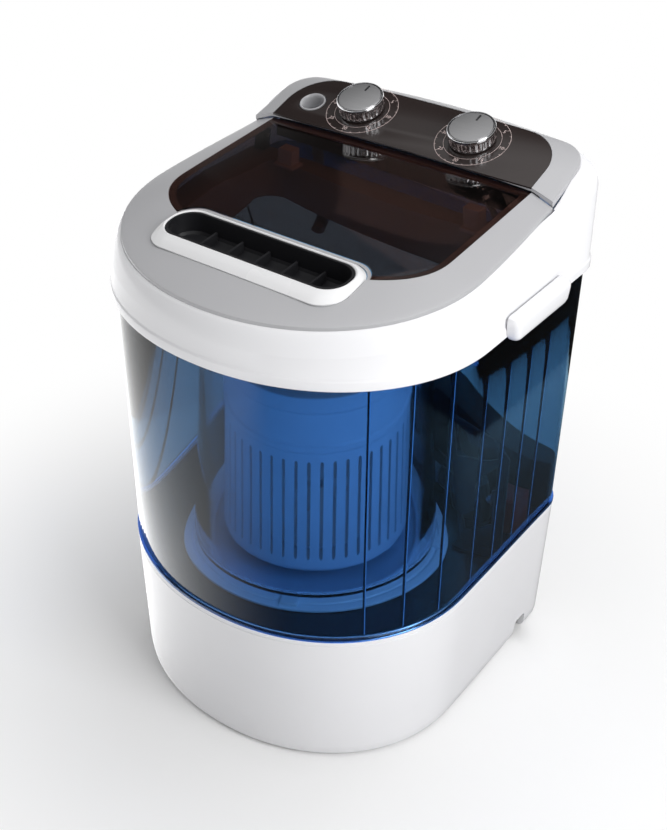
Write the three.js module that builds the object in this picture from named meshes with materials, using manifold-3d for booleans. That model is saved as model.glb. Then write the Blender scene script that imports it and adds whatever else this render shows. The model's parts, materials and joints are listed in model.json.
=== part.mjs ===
// Portable top-load washing machine with a see-through cabinet.
// Millimetres, +Z up, +X to the machine's right, the user stands at -Y.
// The origin is on the floor, in the middle of the machine's footprint.
import * as THREE from "three";
import { mergeVertices } from "three/addons/utils/BufferGeometryUtils.js";
import Module from "manifold-3d";

const wasm = await Module();
wasm.setup();

// ---------------------------------------------------------------- driving dimensions

const GAP = 0.4; // clearance kept between neighbouring pieces
const WALL = 3; // moulded wall thickness

// The D-shaped plan of the machine: a round front, sides that close in towards the back.
const PLAN = {
  halfWidth: 177.5,
  front: -183,
  arcCentre: -28.5,
  rear: 183,
  rearHalfWidth: 176,
  rearRadius: 34,
  rearBulge: 9,
  roundness: 2.08,
};

// The groove round lid and control panel, which narrows more towards the back.
const LID_PLAN = {
  halfWidth: 166.5,
  front: -172,
  arcCentre: -28.5,
  rear: 172.5,
  rearHalfWidth: 158,
  rearRadius: 29,
  rearBulge: 8,
  roundness: 2.08,
};
const FRONT_STEPS = 18; // facets of the round front
const CORNER_STEPS = 4; // facets of each rear corner
const SIDE_STEPS = 5; // facets of each side

const FLOOR_CLEARANCE = 1.2; // the base housing hangs this far above the floor
const BASE_TOP = 154;
const SHELL_TOP = 438;
const SKIRT_BOTTOM = 420.5;
const LIP_HEIGHT = 9;

// The lid's edge lies in a plane that rises gently to the back.
const LID_EDGE_Z = 481.5;
const LID_SLOPE = 0.1;
const CROWN = 9.5; // the window lies this far above the lid's edge

// The control panel is steeper and stands a little proud of the lid.
const PANEL_Y = 128.6;
const PANEL_Z = 516.4;
const PANEL_SLOPE = 0.33;
const PANEL_CROWN = 9;
const PANEL_TILT = Math.atan(PANEL_SLOPE);

// The dark glass outline that lid window and panel share.
const GLASS = {
  halfWidth: 139,
  front: -101,
  arcCentre: -28.5,
  rear: 159.5,
  rearHalfWidth: 138,
  rearRadius: 40,
  rearBulge: 2,
  roundness: 2.3,
};
const GLASS_THICK = 1.5;

// The lid turns about a cross axis under its rear edge.
const HINGE = { y: 83, z: 486 };
const JOINT_Y = [
  [0, 101.5],
  [60, 100.6],
  [100, 99.4],
  [135, 97.5],
  [152, 95.2],
  [168, 94.6],
]; // distance from the middle, and where the lid meets the panel there

const TUB = { x: 0, y: -17, radius: 116, wall: 2.5, floor: 160 };
const BASKET = { radius: 93, wall: 2.2, foot: 171, top: 352, slots: 30 };
const DECK_Z = 150;
const INNER_DECK_Z = 463;

const KNOB = { x: 59.3, y: 128.6, radius: 22, height: 15 };
const INLET = { x: -111, y: 121.5, radius: 12.5, depth: 20 };

const MOTOR = { x: 78, y: 92, radius: 44, top: 118, bottom: 48 };
const PULLEY = { z: 30, big: 62, small: 17, height: 12 };

// ---------------------------------------------------------------- finishes

const finish = (color, roughness, metalness = 0) =>
  new THREE.MeshStandardMaterial({ color, roughness, metalness });
const WHITE = finish(0xf4f4f4, 0.25);
const SILVER = finish(0xa8a9ad, 0.35, 0.3);
const SMOKED = finish(0x1a0d0a, 0.08);
const BLUE_CLEAR = finish(0x1f62b8, 0.05);
const CLEAR = finish(0xbfd4e6, 0.1);
const CHROME = finish(0xe6e6e8, 0.12, 1);
const BLACK = finish(0x0b0b0c, 0.3);
const DARK_DECK = finish(0x15171a, 0.15);
const RUBBER = finish(0x1c1c1c, 0.9);
const STEEL = finish(0x9b9ea3, 0.35, 1);
const COPPER_RED = finish(0x8a1c12, 0.5);
const GREY_HOSE = finish(0x55585c, 0.7);

// ---------------------------------------------------------------- solid helpers

function solid(geometry) {
  const bare = (geometry.index ? geometry.toNonIndexed() : geometry).clone();
  bare.deleteAttribute("normal");
  bare.deleteAttribute("uv");
  const merged = mergeVertices(bare, 1e-3);
  return new wasm.Manifold(
    new wasm.Mesh({
      numProp: 3,
      vertProperties: merged.attributes.position.array,
      triVerts: new Uint32Array(merged.index.array),
    }),
  );
}

function geometryOf(manifold) {
  const mesh = manifold.getMesh();
  const position = new Float32Array(mesh.numVert * 3);
  for (let i = 0; i < mesh.numVert; i++)
    position.set(mesh.vertProperties.subarray(i * mesh.numProp, i * mesh.numProp + 3), i * 3);
  return new THREE.BufferGeometry()
    .setAttribute("position", new THREE.BufferAttribute(position, 3))
    .setIndex(new THREE.BufferAttribute(mesh.triVerts, 1));
}

const joined = (...solids) => solids.reduce((a, b) => a.add(b));
const cut = (body, ...tools) => tools.reduce((a, b) => a.subtract(b), body);

function box(x0, x1, y0, y1, z0, z1) {
  const g = new THREE.BoxGeometry(x1 - x0, y1 - y0, z1 - z0);
  return solid(g.translate((x0 + x1) / 2, (y0 + y1) / 2, (z0 + z1) / 2));
}

function lathe(profile, segments = 32) {
  const g = new THREE.LatheGeometry(
    profile.map(([r, z]) => new THREE.Vector2(r, z)),
    segments,
  );
  return solid(g.rotateX(Math.PI / 2));
}

const disc = (radius, z0, z1, segments = 24) =>
  lathe([[0, z0], [radius, z0], [radius, z1], [0, z1]], segments);

const ringSolid = (inner, outer, z0, z1, segments = 32) =>
  lathe([[inner, z0], [outer, z0], [outer, z1], [inner, z1], [inner, z0]], segments);

// A closed skin over stacked rings of equal length, each ring counter-clockwise from above.
function loft(rings) {
  const count = rings[0].length;
  const position = rings.flat().flatMap((p) => [p.x, p.y, p.z]);
  const index = [];
  for (let r = 0; r + 1 < rings.length; r++)
    for (let i = 0; i < count; i++) {
      const a = r * count + i;
      const b = r * count + ((i + 1) % count);
      index.push(a, b, a + count, b, b + count, a + count);
    }
  const cap = (ring) =>
    THREE.ShapeUtils.triangulateShape(ring.map((p) => new THREE.Vector2(p.x, p.y)), []);
  for (const [a, b, c] of cap(rings[0])) index.push(a, c, b);
  const last = (rings.length - 1) * count;
  for (const [a, b, c] of cap(rings[rings.length - 1])) index.push(last + a, last + b, last + c);
  const g = new THREE.BufferGeometry()
    .setAttribute("position", new THREE.Float32BufferAttribute(position, 3))
    .setIndex(index);
  return solid(g);
}

// The plan curve, counter-clockwise from the left end of the front arc.
function outline(plan, inset = 0) {
  const { arcCentre, rearBulge } = plan;
  const halfWidth = plan.halfWidth - inset;
  const frontDepth = arcCentre - plan.front - inset;
  const rearHalf = plan.rearHalfWidth - inset;
  const rear = plan.rear - inset - rearBulge;
  const radius = Math.max(plan.rearRadius - inset, 4);
  const points = [];
  const power = (v) => Math.sign(v) * Math.abs(v) ** (2 / plan.roundness);
  for (let i = 0; i <= FRONT_STEPS; i++) {
    const t = Math.PI * (1 - i / FRONT_STEPS);
    const x = halfWidth * power(Math.cos(t));
    points.push(new THREE.Vector2(x, arcCentre - frontDepth * power(Math.sin(t))));
  }
  const corner = [];
  for (let i = 0; i <= CORNER_STEPS; i++) {
    const t = (Math.PI / 2) * (i / CORNER_STEPS);
    const x = rearHalf - radius + radius * Math.cos(t);
    corner.push(new THREE.Vector2(x, rear - radius + radius * Math.sin(t)));
  }
  const side = [];
  for (let i = 1; i < SIDE_STEPS; i++) {
    const f = i / SIDE_STEPS;
    const x = halfWidth + (rearHalf - halfWidth) * THREE.MathUtils.smoothstep(f, 0, 1);
    side.push(new THREE.Vector2(x, arcCentre + (rear - radius - arcCentre) * f));
  }
  const half = rearHalf - radius;
  const back = [0.45, 0].map((f) => new THREE.Vector2(half * f, rear + rearBulge * (1 - f * f)));
  const right = [...side, ...corner, back[0]];
  const left = right.map((p) => new THREE.Vector2(-p.x, p.y)).reverse();
  return [...points, ...right, back[1], ...left];
}

const at = (points, z) =>
  points.map((p) => new THREE.Vector3(p.x, p.y, typeof z === "function" ? z(p.y) : z));

const prism = (points, z0, z1) => loft([at(points, z0), at(points, z1)]);

const blendRing = (a, b, t) => a.map((p, i) => p.clone().lerp(b[i], t));

function stadium(x0, x1, y0, y1, radius, steps = 5) {
  const centres = [
    [x1 - radius, y0 + radius, -90],
    [x1 - radius, y1 - radius, 0],
    [x0 + radius, y1 - radius, 90],
    [x0 + radius, y0 + radius, 180],
  ];
  return centres.flatMap(([cx, cy, start]) =>
    Array.from({ length: steps + 1 }, (_, i) => {
      const t = THREE.MathUtils.degToRad(start + (90 * i) / steps);
      return new THREE.Vector2(cx + radius * Math.cos(t), cy + radius * Math.sin(t));
    }),
  );
}

function pipe(points, radius, sides = 8, steps = 24) {
  const curve = new THREE.CatmullRomCurve3(points.map((p) => new THREE.Vector3(...p)));
  const section = new THREE.Shape();
  section.absarc(0, 0, radius, 0, 2 * Math.PI);
  const settings = { extrudePath: curve, steps, curveSegments: Math.round(sides / 2) };
  return solid(new THREE.ExtrudeGeometry(section, { ...settings, bevelEnabled: false }));
}

const lidEdge = (y) => LID_EDGE_Z + LID_SLOPE * y;
const lidTop = (y) => lidEdge(y) + CROWN;
const panelTop = (y) => PANEL_Z + PANEL_SLOPE * (y - PANEL_Y);
const panelEdge = (y) => panelTop(y) - PANEL_CROWN;

// The white rim follows the lid, then climbs beside the panel.
function rimZ(y) {
  const climb = THREE.MathUtils.smoothstep(y, 92, 132);
  return THREE.MathUtils.lerp(lidEdge(y), panelEdge(y), climb);
}

// A body of revolution about the hinge axis that reaches the joint between lid and panel.
function hingeBarrel(extra) {
  const depth = lidTop(HINGE.y) - HINGE.z;
  const rise = (x) => (x > 140 ? depth - 8 * ((x - 140) / 28) : depth);
  const profile = JOINT_Y.map(([x, y]) => [Math.hypot(y - HINGE.y, rise(x)) + extra, x]);
  const mirrored = profile.slice(1).reverse().map(([r, x]) => [r, -x]);
  const ends = [[0, -JOINT_Y.at(-1)[0]], ...mirrored, ...profile, [0, JOINT_Y.at(-1)[0]]];
  const g = new THREE.LatheGeometry(ends.map(([r, x]) => new THREE.Vector2(r, x)), 28);
  g.rotateZ(-Math.PI / 2);
  return solid(g.translate(0, HINGE.y, HINGE.z));
}

// Places a solid drawn about the panel's own origin onto the tilted panel.
function onPanel(item, x, y) {
  const g = geometryOf(item);
  g.rotateX(PANEL_TILT);
  return solid(g.translate(x, y, panelTop(y)));
}

// ---------------------------------------------------------------- the assembly

const washer = new THREE.Group();

function part(name, item, material) {
  const mesh = new THREE.Mesh(geometryOf(item), material);
  mesh.name = name;
  washer.add(mesh);
}

const moved = (item, x, y, z = 0) => solid(geometryOf(item).translate(x, y, z));

// A disc whose axis runs front to back, between two values of y.
function alongY(radius, y0, y1, [x, z], segments = 20) {
  const g = new THREE.CylinderGeometry(radius, radius, y1 - y0, segments);
  return solid(g.translate(x, (y0 + y1) / 2, z));
}

// ---------------------------------------------------------------- base

const DRAIN_OUTLET = [0, 104]; // x and z on the rear wall
const CORD_GLAND = [96, 60];

function baseHousing() {
  const section = [
    [FLOOR_CLEARANCE, 6],
    [FLOOR_CLEARANCE + 3, 3.4],
    [FLOOR_CLEARANCE + 12, 2.4],
    [BASE_TOP - 2, 0.6],
    [BASE_TOP, 1.4],
  ];
  const outer = loft(section.map(([z, inset]) => at(outline(PLAN, inset), z)));
  const inner = loft([
    at(outline(PLAN, 9.5), FLOOR_CLEARANCE - 1),
    at(outline(PLAN, 7), FLOOR_CLEARANCE + 15),
    at(outline(PLAN, 4.4), BASE_TOP + 1),
  ]);
  const notch = box(-200, 200, 100, 122, 0, 22);
  const outletHole = alongY(10.4, 150, 200, DRAIN_OUTLET);
  const glandHole = alongY(7.4, 150, 200, CORD_GLAND);
  return cut(outer, inner, notch, outletHole, glandHole);
}

const FOOT_SPOTS = {
  front_left: [-112, -96],
  front_right: [112, -96],
  rear_left: [-128, 142],
  rear_right: [128, 142],
};

function basePan() {
  const plate = prism(outline(PLAN, 10.5), 6, 9);
  const rim = cut(prism(outline(PLAN, 10.5), 8, 22), prism(outline(PLAN, 13.5), 7, 23));
  const holes = Object.values(FOOT_SPOTS).map(([x, y]) => moved(disc(4.4, 5, 10, 12), x, y));
  const vents = [-24, -8, 8, 24].map((dx) => box(MOTOR.x + dx - 3, MOTOR.x + dx + 3, 62, 122, 5, 10));
  return cut(joined(plate, rim), ...holes, ...vents);
}

function foot() {
  return lathe([[0, 0], [12, 0], [13.5, 1.5], [14.5, 5.6], [4, 5.6], [4, 11], [0, 11]], 16);
}

function deckPlate() {
  const plate = prism(outline(PLAN, 5.2), DECK_Z, DECK_Z + 2.5);
  const hub = moved(disc(31, DECK_Z - 1, DECK_Z + 4), TUB.x, TUB.y);
  const drain = moved(disc(14, DECK_Z - 1, DECK_Z + 4, 16), 2, 124);
  const wires = moved(disc(6, DECK_Z - 1, DECK_Z + 4, 12), 86, 128);
  return cut(plate, hub, drain, wires);
}

// ---------------------------------------------------------------- see-through cabinet

function cabinetShell() {
  const outer = loft([
    at(outline(PLAN, 0), BASE_TOP + 0.4),
    at(outline(PLAN, 0), BASE_TOP + 4),
    at(outline(PLAN, 1.6), BASE_TOP + 5),
    at(outline(PLAN, 3.8), SHELL_TOP),
  ]);
  const inner = loft([
    at(outline(PLAN, 4.2), BASE_TOP - 1),
    at(outline(PLAN, 6.4), SHELL_TOP + 1),
  ]);
  return cut(outer, inner);
}

// ---------------------------------------------------------------- white top frame

function topFrame() {
  const outer = loft([
    at(outline(PLAN, -1.5), SKIRT_BOTTOM),
    at(outline(PLAN, -1.5), SKIRT_BOTTOM + LIP_HEIGHT),
    at(outline(PLAN, 0), SKIRT_BOTTOM + LIP_HEIGHT + 1),
    at(outline(PLAN, 1.5), (y) => rimZ(y) - 19),
    at(outline(PLAN, 4.5), (y) => rimZ(y) - 10),
    at(blendRing(outline(PLAN, 4.5), outline(LID_PLAN), 0.55), (y) => rimZ(y) - 3.5),
    at(outline(LID_PLAN), (y) => rimZ(y) - 1),
  ]);
  const hollow = loft([
    at(outline(PLAN, 3.3), SKIRT_BOTTOM - 1),
    at(outline(PLAN, 3.3), SKIRT_BOTTOM + 26),
    at(outline(PLAN, 6), (y) => rimZ(y) - 17),
    at(outline(LID_PLAN, 11), (y) => lidEdge(y) - 12.5),
  ]);
  const seatPlan = outline(LID_PLAN, -0.2);
  const seat = loft([at(seatPlan, (y) => lidEdge(y) - 7.5), at(seatPlan, (y) => rimZ(y) + 6)]);
  const mouthPlan = outline(LID_PLAN, 10);
  const opening = loft([at(mouthPlan, SKIRT_BOTTOM - 2), at(mouthPlan, (y) => rimZ(y) + 8)]);
  const hingeRoom = hingeBarrel(1.2).intersect(box(-160.6, 160.6, 60, 130, 440, 540));
  return cut(outer, hollow, seat, opening, hingeRoom);
}

function carryHandle(side) {
  const root = side * 176.9;
  const face = side * 190;
  const rings = [
    [417, 4, 80, side * 185],
    [423, -2, 87, face],
    [437, -4, 89, face],
    [441, -2, 87, side * 187.5],
  ].map(([z, y0, y1, x]) => {
    const near = side > 0 ? [root, x] : [x, root];
    return [
      new THREE.Vector3(near[0], y0, z),
      new THREE.Vector3(near[1], y0, z),
      new THREE.Vector3(near[1], y1, z),
      new THREE.Vector3(near[0], y1, z),
    ];
  });
  const block = loft(rings);
  const frameSide = prism(outline(PLAN, -1.9), 400, 460);
  return cut(block, frameSide);
}

// ---------------------------------------------------------------- under the lid

const OPENING = {
  halfWidth: 128,
  front: -142,
  arcCentre: -28.5,
  rear: 66,
  rearHalfWidth: 118,
  rearRadius: 14,
  rearBulge: -8,
  roundness: 2.08,
};

function innerDeck() {
  const slope = (z) => (y) => z + 0.06 * y;
  const plan = outline(LID_PLAN, 11);
  const plate = loft([at(plan, slope(INNER_DECK_Z - 3)), at(plan, slope(INNER_DECK_Z))]);
  const rear = box(-200, 200, 91.5, 220, 400, 520);
  const collar = outline(OPENING, -2.5);
  const wall = loft([at(collar, 432), at(collar, slope(INNER_DECK_Z - 1))]);
  const mouth = prism(outline(OPENING, 0), 420, 520);
  return cut(joined(plate, wall), rear, mouth);
}

function basketPost(side) {
  const x = side * 98;
  const foot = box(x - 11, x + 11, 62, 78, 467.9, 471);
  const stem = box(x - 8, x + 8, 64, 76, 470, 487);
  return joined(foot, stem);
}

function washTub() {
  const circle = (radius) =>
    outline(OPENING, 0).map((p) => {
      const d = new THREE.Vector2(p.x - TUB.x, p.y - TUB.y).setLength(radius);
      return new THREE.Vector2(d.x + TUB.x, d.y + TUB.y);
    });
  const mouth = (inset) => outline(OPENING, inset);
  const outer = loft([
    at(circle(TUB.radius - 4), TUB.floor),
    at(circle(TUB.radius), TUB.floor + 10),
    at(circle(TUB.radius + 2), 372),
    at(mouth(-5.4), 428),
    at(mouth(-5.4), 448),
  ]);
  const inner = loft([
    at(circle(TUB.radius - 4 - TUB.wall), TUB.floor + TUB.wall),
    at(circle(TUB.radius - TUB.wall), TUB.floor + 11),
    at(circle(TUB.radius + 2 - TUB.wall), 372.5),
    at(mouth(-3), 428.5),
    at(mouth(-3), 449),
  ]);
  const hub = moved(disc(16, TUB.floor - 2, TUB.floor + 6), TUB.x, TUB.y);
  const drain = moved(disc(8, TUB.floor - 2, TUB.floor + 6, 16), 0, TUB.y + 98);
  return cut(outer, inner, hub, drain, inletPipe(7));
}

function tubFlange() {
  const z = DECK_Z + 2.9;
  const plate = ringSolid(34, TUB.radius + 9, z, z + 3, 32);
  const collar = ringSolid(TUB.radius - 14, TUB.radius - 10, z + 2, TUB.floor - 0.4, 32);
  const lug = box(-9, 9, -(TUB.radius + 5), -(TUB.radius - 12), z + 2, TUB.floor - 0.4);
  const lugs = [25, 115, 205, 295].map((a) => lug.rotate([0, 0, a]));
  return moved(joined(plate, collar, ...lugs), TUB.x, TUB.y);
}

// ---------------------------------------------------------------- spin basket and drive

function spinBasket() {
  const { radius, wall, foot: z0, top } = BASKET;
  const profile = [
    [17, z0], [radius - 3, z0], [radius, z0 + 4], [radius, top - 16], [radius + 4, top - 14],
    [radius + 4, top], [radius - 6, top], [radius - 6, top - 3], [radius - wall, top - 12],
    [radius - wall, z0 + 5], [radius - wall - 3, z0 + wall], [17, z0 + wall], [17, z0],
  ];
  const body = lathe(profile, BASKET.slots);
  const slot = box(-1.5, 1.5, -radius - 5, -radius + 8, z0 + 16, top - 60);
  const slots = Array.from({ length: BASKET.slots }, (_, i) =>
    slot.rotate([0, 0, (360 * (i + 0.5)) / BASKET.slots]),
  );
  return moved(cut(body, ...slots), TUB.x, TUB.y);
}

function pulsator() {
  const z = BASKET.foot + BASKET.wall + 1;
  const plate = lathe([[0, z], [62, z], [64, z + 3], [40, z + 7], [14, z + 16], [0, z + 18]], 32);
  const fin = box(-3, 3, 8, 58, z + 2, z + 15);
  const fins = [0, 60, 120, 180, 240, 300].map((a) => fin.rotate([0, 0, a]));
  const bore = disc(6.4, z - 1, z + 12, 16);
  return moved(cut(joined(plate, ...fins), bore), TUB.x, TUB.y);
}

const DRIVE_SHAFT = { radius: 6, bottom: PULLEY.z - 8, top: BASKET.foot + 13 };

function driveShaft() {
  const { radius, bottom, top } = DRIVE_SHAFT;
  return moved(disc(radius, bottom, top, 20), TUB.x, TUB.y);
}

function basketHub() {
  const z = BASKET.foot - 8;
  const profile = [
    [6.4, z], [14, z], [14, z + 7.6], [16.6, z + 7.6], [16.6, z + 10], [6.4, z + 10], [6.4, z],
  ];
  return moved(lathe(profile, 24), TUB.x, TUB.y);
}

function bearingHousing() {
  const profile = [
    [13.4, 84], [24, 84], [24, 136], [30, 140], [30, 152.2],
    [22, 152.2], [22, 158], [13.4, 158], [13.4, 84],
  ];
  const body = lathe(profile, 28);
  const arms = [0, 120, 240].map((a) => box(-6, 6, 22, 58, 140, 148).rotate([0, 0, a]));
  const bore = disc(13.4, 80, 160, 28);
  return moved(cut(joined(body, ...arms), bore), TUB.x, TUB.y);
}

const bearing = (z) => moved(ringSolid(6.4, 13, z, z + 9, 16), TUB.x, TUB.y);
const shaftSeal = () => moved(ringSolid(6.4, 13, 148, 157.5, 16), TUB.x, TUB.y);

// A V-belt pulley at the height of the belt.
function grooved(radius, bore) {
  const { height } = PULLEY;
  const z = PULLEY.z - height / 2;
  const profile = [
    [bore, z], [radius, z], [radius, z + 1.5], [radius - 6, z + height / 2 - 1],
    [radius - 6, z + height / 2 + 1], [radius, z + height - 1.5], [radius, z + height],
    [bore, z + height], [bore, z],
  ];
  return lathe(profile, 24);
}

const drivenPulley = () => moved(grooved(PULLEY.big, 6.4), TUB.x, TUB.y);
const motorPulley = () => moved(grooved(PULLEY.small, 4.4), MOTOR.x, MOTOR.y);

// An open V-belt section swept round both pulleys, clear of their grooves.
function driveBelt() {
  const a = new THREE.Vector2(TUB.x, TUB.y);
  const b = new THREE.Vector2(MOTOR.x, MOTOR.y);
  const axis = b.clone().sub(a);
  const heading = axis.angle();
  const loop = (clearance) => {
    const big = PULLEY.big - 5.4 + clearance;
    const small = PULLEY.small - 5.4 + clearance;
    const lean = Math.acos((big - small) / axis.length());
    const arc = (centre, radius, from, to, steps) =>
      Array.from({ length: steps + 1 }, (_, i) => {
        const t = heading + from + ((to - from) * i) / steps;
        return new THREE.Vector2(centre.x + radius * Math.cos(t), centre.y + radius * Math.sin(t));
      });
    return [...arc(b, small, -lean, lean, 8), ...arc(a, big, lean, 2 * Math.PI - lean, 26)];
  };
  const z = PULLEY.z;
  return cut(prism(loop(4.2), z - 0.8, z + 0.8), prism(loop(0), z - 2, z + 2));
}

function motorHousing() {
  const { radius, top, bottom } = MOTOR;
  const profile = [
    [4.6, bottom], [20, bottom], [22, bottom + 6], [radius - 4, bottom + 8], [radius, bottom + 14],
    [radius, top - 14], [radius - 4, top - 6], [0, top - 6], [0, top - 20], [4.6, top - 20], [4.6, bottom],
  ];
  return moved(lathe(profile, 28), MOTOR.x, MOTOR.y);
}

const motorShaft = () => moved(disc(4, PULLEY.z - 8, MOTOR.top - 21, 16), MOTOR.x, MOTOR.y);

function motorMount() {
  const z = MOTOR.top - 5.6;
  const plate = prism(stadium(MOTOR.x - 52, MOTOR.x + 52, MOTOR.y - 40, MOTOR.y + 40, 14), z, z + 3);
  const posts = [
    [-42, -30],
    [42, -30],
    [-42, 30],
    [42, 30],
  ].map(([dx, dy]) => moved(disc(5, z + 2, DECK_Z - GAP, 12), MOTOR.x + dx, MOTOR.y + dy));
  return joined(plate, ...posts);
}

const capacitor = () => moved(disc(17, 10, 66, 24), -96, 92);
const capacitorClip = () => moved(ringSolid(17.5, 20, 40, 50, 24), -96, 92);

// ---------------------------------------------------------------- drain and water

const DRAIN_VALVE = { x: 100, y: 100, radius: 15, top: 188 };
const ON_DECK = DECK_Z + 2.9;

function drainValveBody() {
  const { x, y, radius, top } = DRAIN_VALVE;
  const body = moved(disc(radius, ON_DECK, top, 20), x, y);
  const cap = moved(disc(radius - 4, top - 1, top + 6, 20), x, y);
  const rodBore = new THREE.CylinderGeometry(3.5, 3.5, 30, 12).rotateZ(Math.PI / 2);
  const port = new THREE.CylinderGeometry(8, 8, 12, 16).rotateZ(Math.PI / 2);
  port.translate(x - radius - 3, y, ON_DECK + 13);
  return cut(joined(body, cap, solid(port)), solid(rodBore.translate(x + 18, y, 174)));
}

function drainValvePlunger() {
  const rod = new THREE.CylinderGeometry(3, 3, 30, 12).rotateZ(Math.PI / 2);
  const collar = new THREE.CylinderGeometry(5, 5, 2, 12).rotateZ(Math.PI / 2);
  rod.translate(DRAIN_VALVE.x + 20, DRAIN_VALVE.y, 174);
  return joined(solid(rod), solid(collar.translate(DRAIN_VALVE.x + 18, DRAIN_VALVE.y, 174)));
}

function drainActuator() {
  const block = box(128, 158, 86, 114, ON_DECK, 190);
  const bore = new THREE.CylinderGeometry(3.5, 3.5, 26, 12).rotateZ(Math.PI / 2);
  return cut(block, solid(bore.translate(138, DRAIN_VALVE.y, 174)));
}

const DRAIN_ROUTE = [
  [75.2, 100, 165.9],
  [64, 101, 166],
  [40, 110, 166],
  [10, 122, 161],
  [0, 124, 146],
  [0, 127, 122],
  [0, 142, 106],
  [0, 158.4, 104],
];

const drainHose = () => pipe(DRAIN_ROUTE, 7.5, 8, 22);

function drainOutlet() {
  const tube = cut(alongY(9.6, 160, 183.6, DRAIN_OUTLET), alongY(7, 150, 190, DRAIN_OUTLET));
  const flange = cut(alongY(13, 168, 171, DRAIN_OUTLET), alongY(8, 150, 190, DRAIN_OUTLET));
  return joined(tube, flange);
}

function cordGland() {
  const sleeve = alongY(6.8, 165, 183.6, CORD_GLAND, 16);
  const nut = alongY(11, 164, 169, CORD_GLAND, 6);
  return cut(joined(sleeve, nut), alongY(3.6, 150, 190, CORD_GLAND, 12));
}

const INLET_ROUTE = [
  [-111, 133.6, 479.5],
  [-111, 136, 456],
  [-104, 126, 436],
  [-84, 104, 426],
  [-70, 84, 420],
  [-62, 68, 414],
];

const inletPipe = (radius) => pipe(INLET_ROUTE, radius, 8, 18);

const HARNESS_ROUTE = [
  [66, 140, 466],
  [76, 144, 440],
  [86, 130, 404],
  [88, 128, 300],
  [86, 128, 200],
  [86, 128, 150],
  [82, 116, 126],
  [80, 100, 119.5],
];

const wiringHarness = () => pipe(HARNESS_ROUTE, 3.2, 6, 26);

// The black cover over the electrics, in the rear right corner of the deck.
function serviceCover() {
  const top = 208;
  const outer = prism(outline(PLAN, 6), ON_DECK, top).intersect(box(38, 200, 138, 172, 100, 300));
  const inner = prism(outline(PLAN, 9), ON_DECK - 1, top - 3).intersect(box(41, 200, 141, 169, 100, 300));
  return cut(outer, inner);
}

// The upright bracket beside the tub, with its stepped windows.
function controlBracket() {
  const face = new THREE.Shape([
    [114, ON_DECK], [166, ON_DECK], [166, 262], [150, 276], [114, 272],
  ].map(([x, z]) => new THREE.Vector2(x, z)));
  const windows = [
    [
      [118, 236], [145, 251], [154, 258], [153, 266], [146, 265],
      [138, 258], [133, 258], [131, 268], [118, 267],
    ],
    [
      [118, 168], [149, 184], [148, 221], [154, 225], [153, 248],
      [139, 232], [132, 220], [133, 202], [129, 192], [118, 181],
    ],
  ];
  face.holes = windows.map((w) => new THREE.Path(w.map(([x, z]) => new THREE.Vector2(x, z))));
  const g = new THREE.ExtrudeGeometry(face, { depth: WALL, bevelEnabled: false });
  g.rotateX(Math.PI / 2);
  return joined(solid(g.translate(0, 55, 0)), box(114, 166, 40, 55, ON_DECK, ON_DECK + WALL));
}

// ---------------------------------------------------------------- control panel

// The crowned cover between the groove round it and the flat glass on top of it.
function crownLoft(edge, crown, bottomDrop, lowered = 0, inset = 0) {
  const groove = outline(LID_PLAN, 0.4 + inset);
  const glass = outline(GLASS, 0);
  const levels = [
    [0, -bottomDrop],
    [0, 1.2],
    [0.05, 2.6],
    [0.45, 3 + (crown - 3) * 0.42],
    [1, crown],
  ];
  const height = (rise) => (y) => edge(y) + rise - (rise > 0 ? lowered : 0);
  return loft(levels.map(([t, rise]) => at(blendRing(groove, glass, t), height(rise))));
}

function panelHousing() {
  const skin = crownLoft(panelEdge, PANEL_CROWN, 4.5);
  const hollow = crownLoft(panelEdge, PANEL_CROWN, 8, 3, 3);
  const behindJoint = box(-200, 200, HINGE.y + 11.9, 220, 400, 560);
  const glass = outline(GLASS);
  const recess = loft([at(glass, (y) => panelTop(y) - GLASS_THICK - 0.1), at(glass, (y) => panelTop(y) + 3)]);
  const front = hingeBarrel(0.6);
  const holes = [-1, 1].map((s) => onPanel(disc(9, -20, 10, 20), s * KNOB.x, KNOB.y));
  const inlet = onPanel(disc(INLET.radius + 0.6, -20, 10, 24), INLET.x, INLET.y);
  return cut(skin.intersect(behindJoint), hollow, recess, front, ...holes, inlet);
}

function panelPlate() {
  const slab = loft([
    at(outline(GLASS, 0.4), (y) => panelTop(y) - GLASS_THICK + 0.2),
    at(outline(GLASS, 0.4), (y) => panelTop(y)),
  ]);
  const behindJoint = box(-200, 200, HINGE.y + 11.9, 220, 400, 560);
  const holes = [-1, 1].map((s) => onPanel(disc(4.5, -8, 8, 16), s * KNOB.x, KNOB.y));
  const inlet = onPanel(disc(INLET.radius + 0.6, -8, 8, 24), INLET.x, INLET.y);
  return cut(slab.intersect(behindJoint), hingeBarrel(0.6), ...holes, inlet);
}

function waterInlet() {
  const { radius, depth } = INLET;
  const profile = [
    [5, -depth - 10], [7, -depth - 10], [7, -depth], [radius, -depth + 2], [radius, 0.2],
    [radius - 1.6, 0.6], [radius - 2.4, -1], [radius - 2.4, -depth + 4], [5, -depth + 2], [5, -depth - 10],
  ];
  return onPanel(lathe(profile, 28), INLET.x, INLET.y);
}

function timer(side) {
  const body = box(-26, 26, -20, 17, -36, -6.4);
  const neck = disc(8.6, -7, -3.2, 20);
  const bore = disc(3.4, -30, 10, 16);
  return onPanel(cut(joined(body, neck), bore), side * KNOB.x, KNOB.y);
}

const timerShaft = (side) => onPanel(disc(3, -28, KNOB.height - 4.6, 16), side * KNOB.x, KNOB.y);

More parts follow.
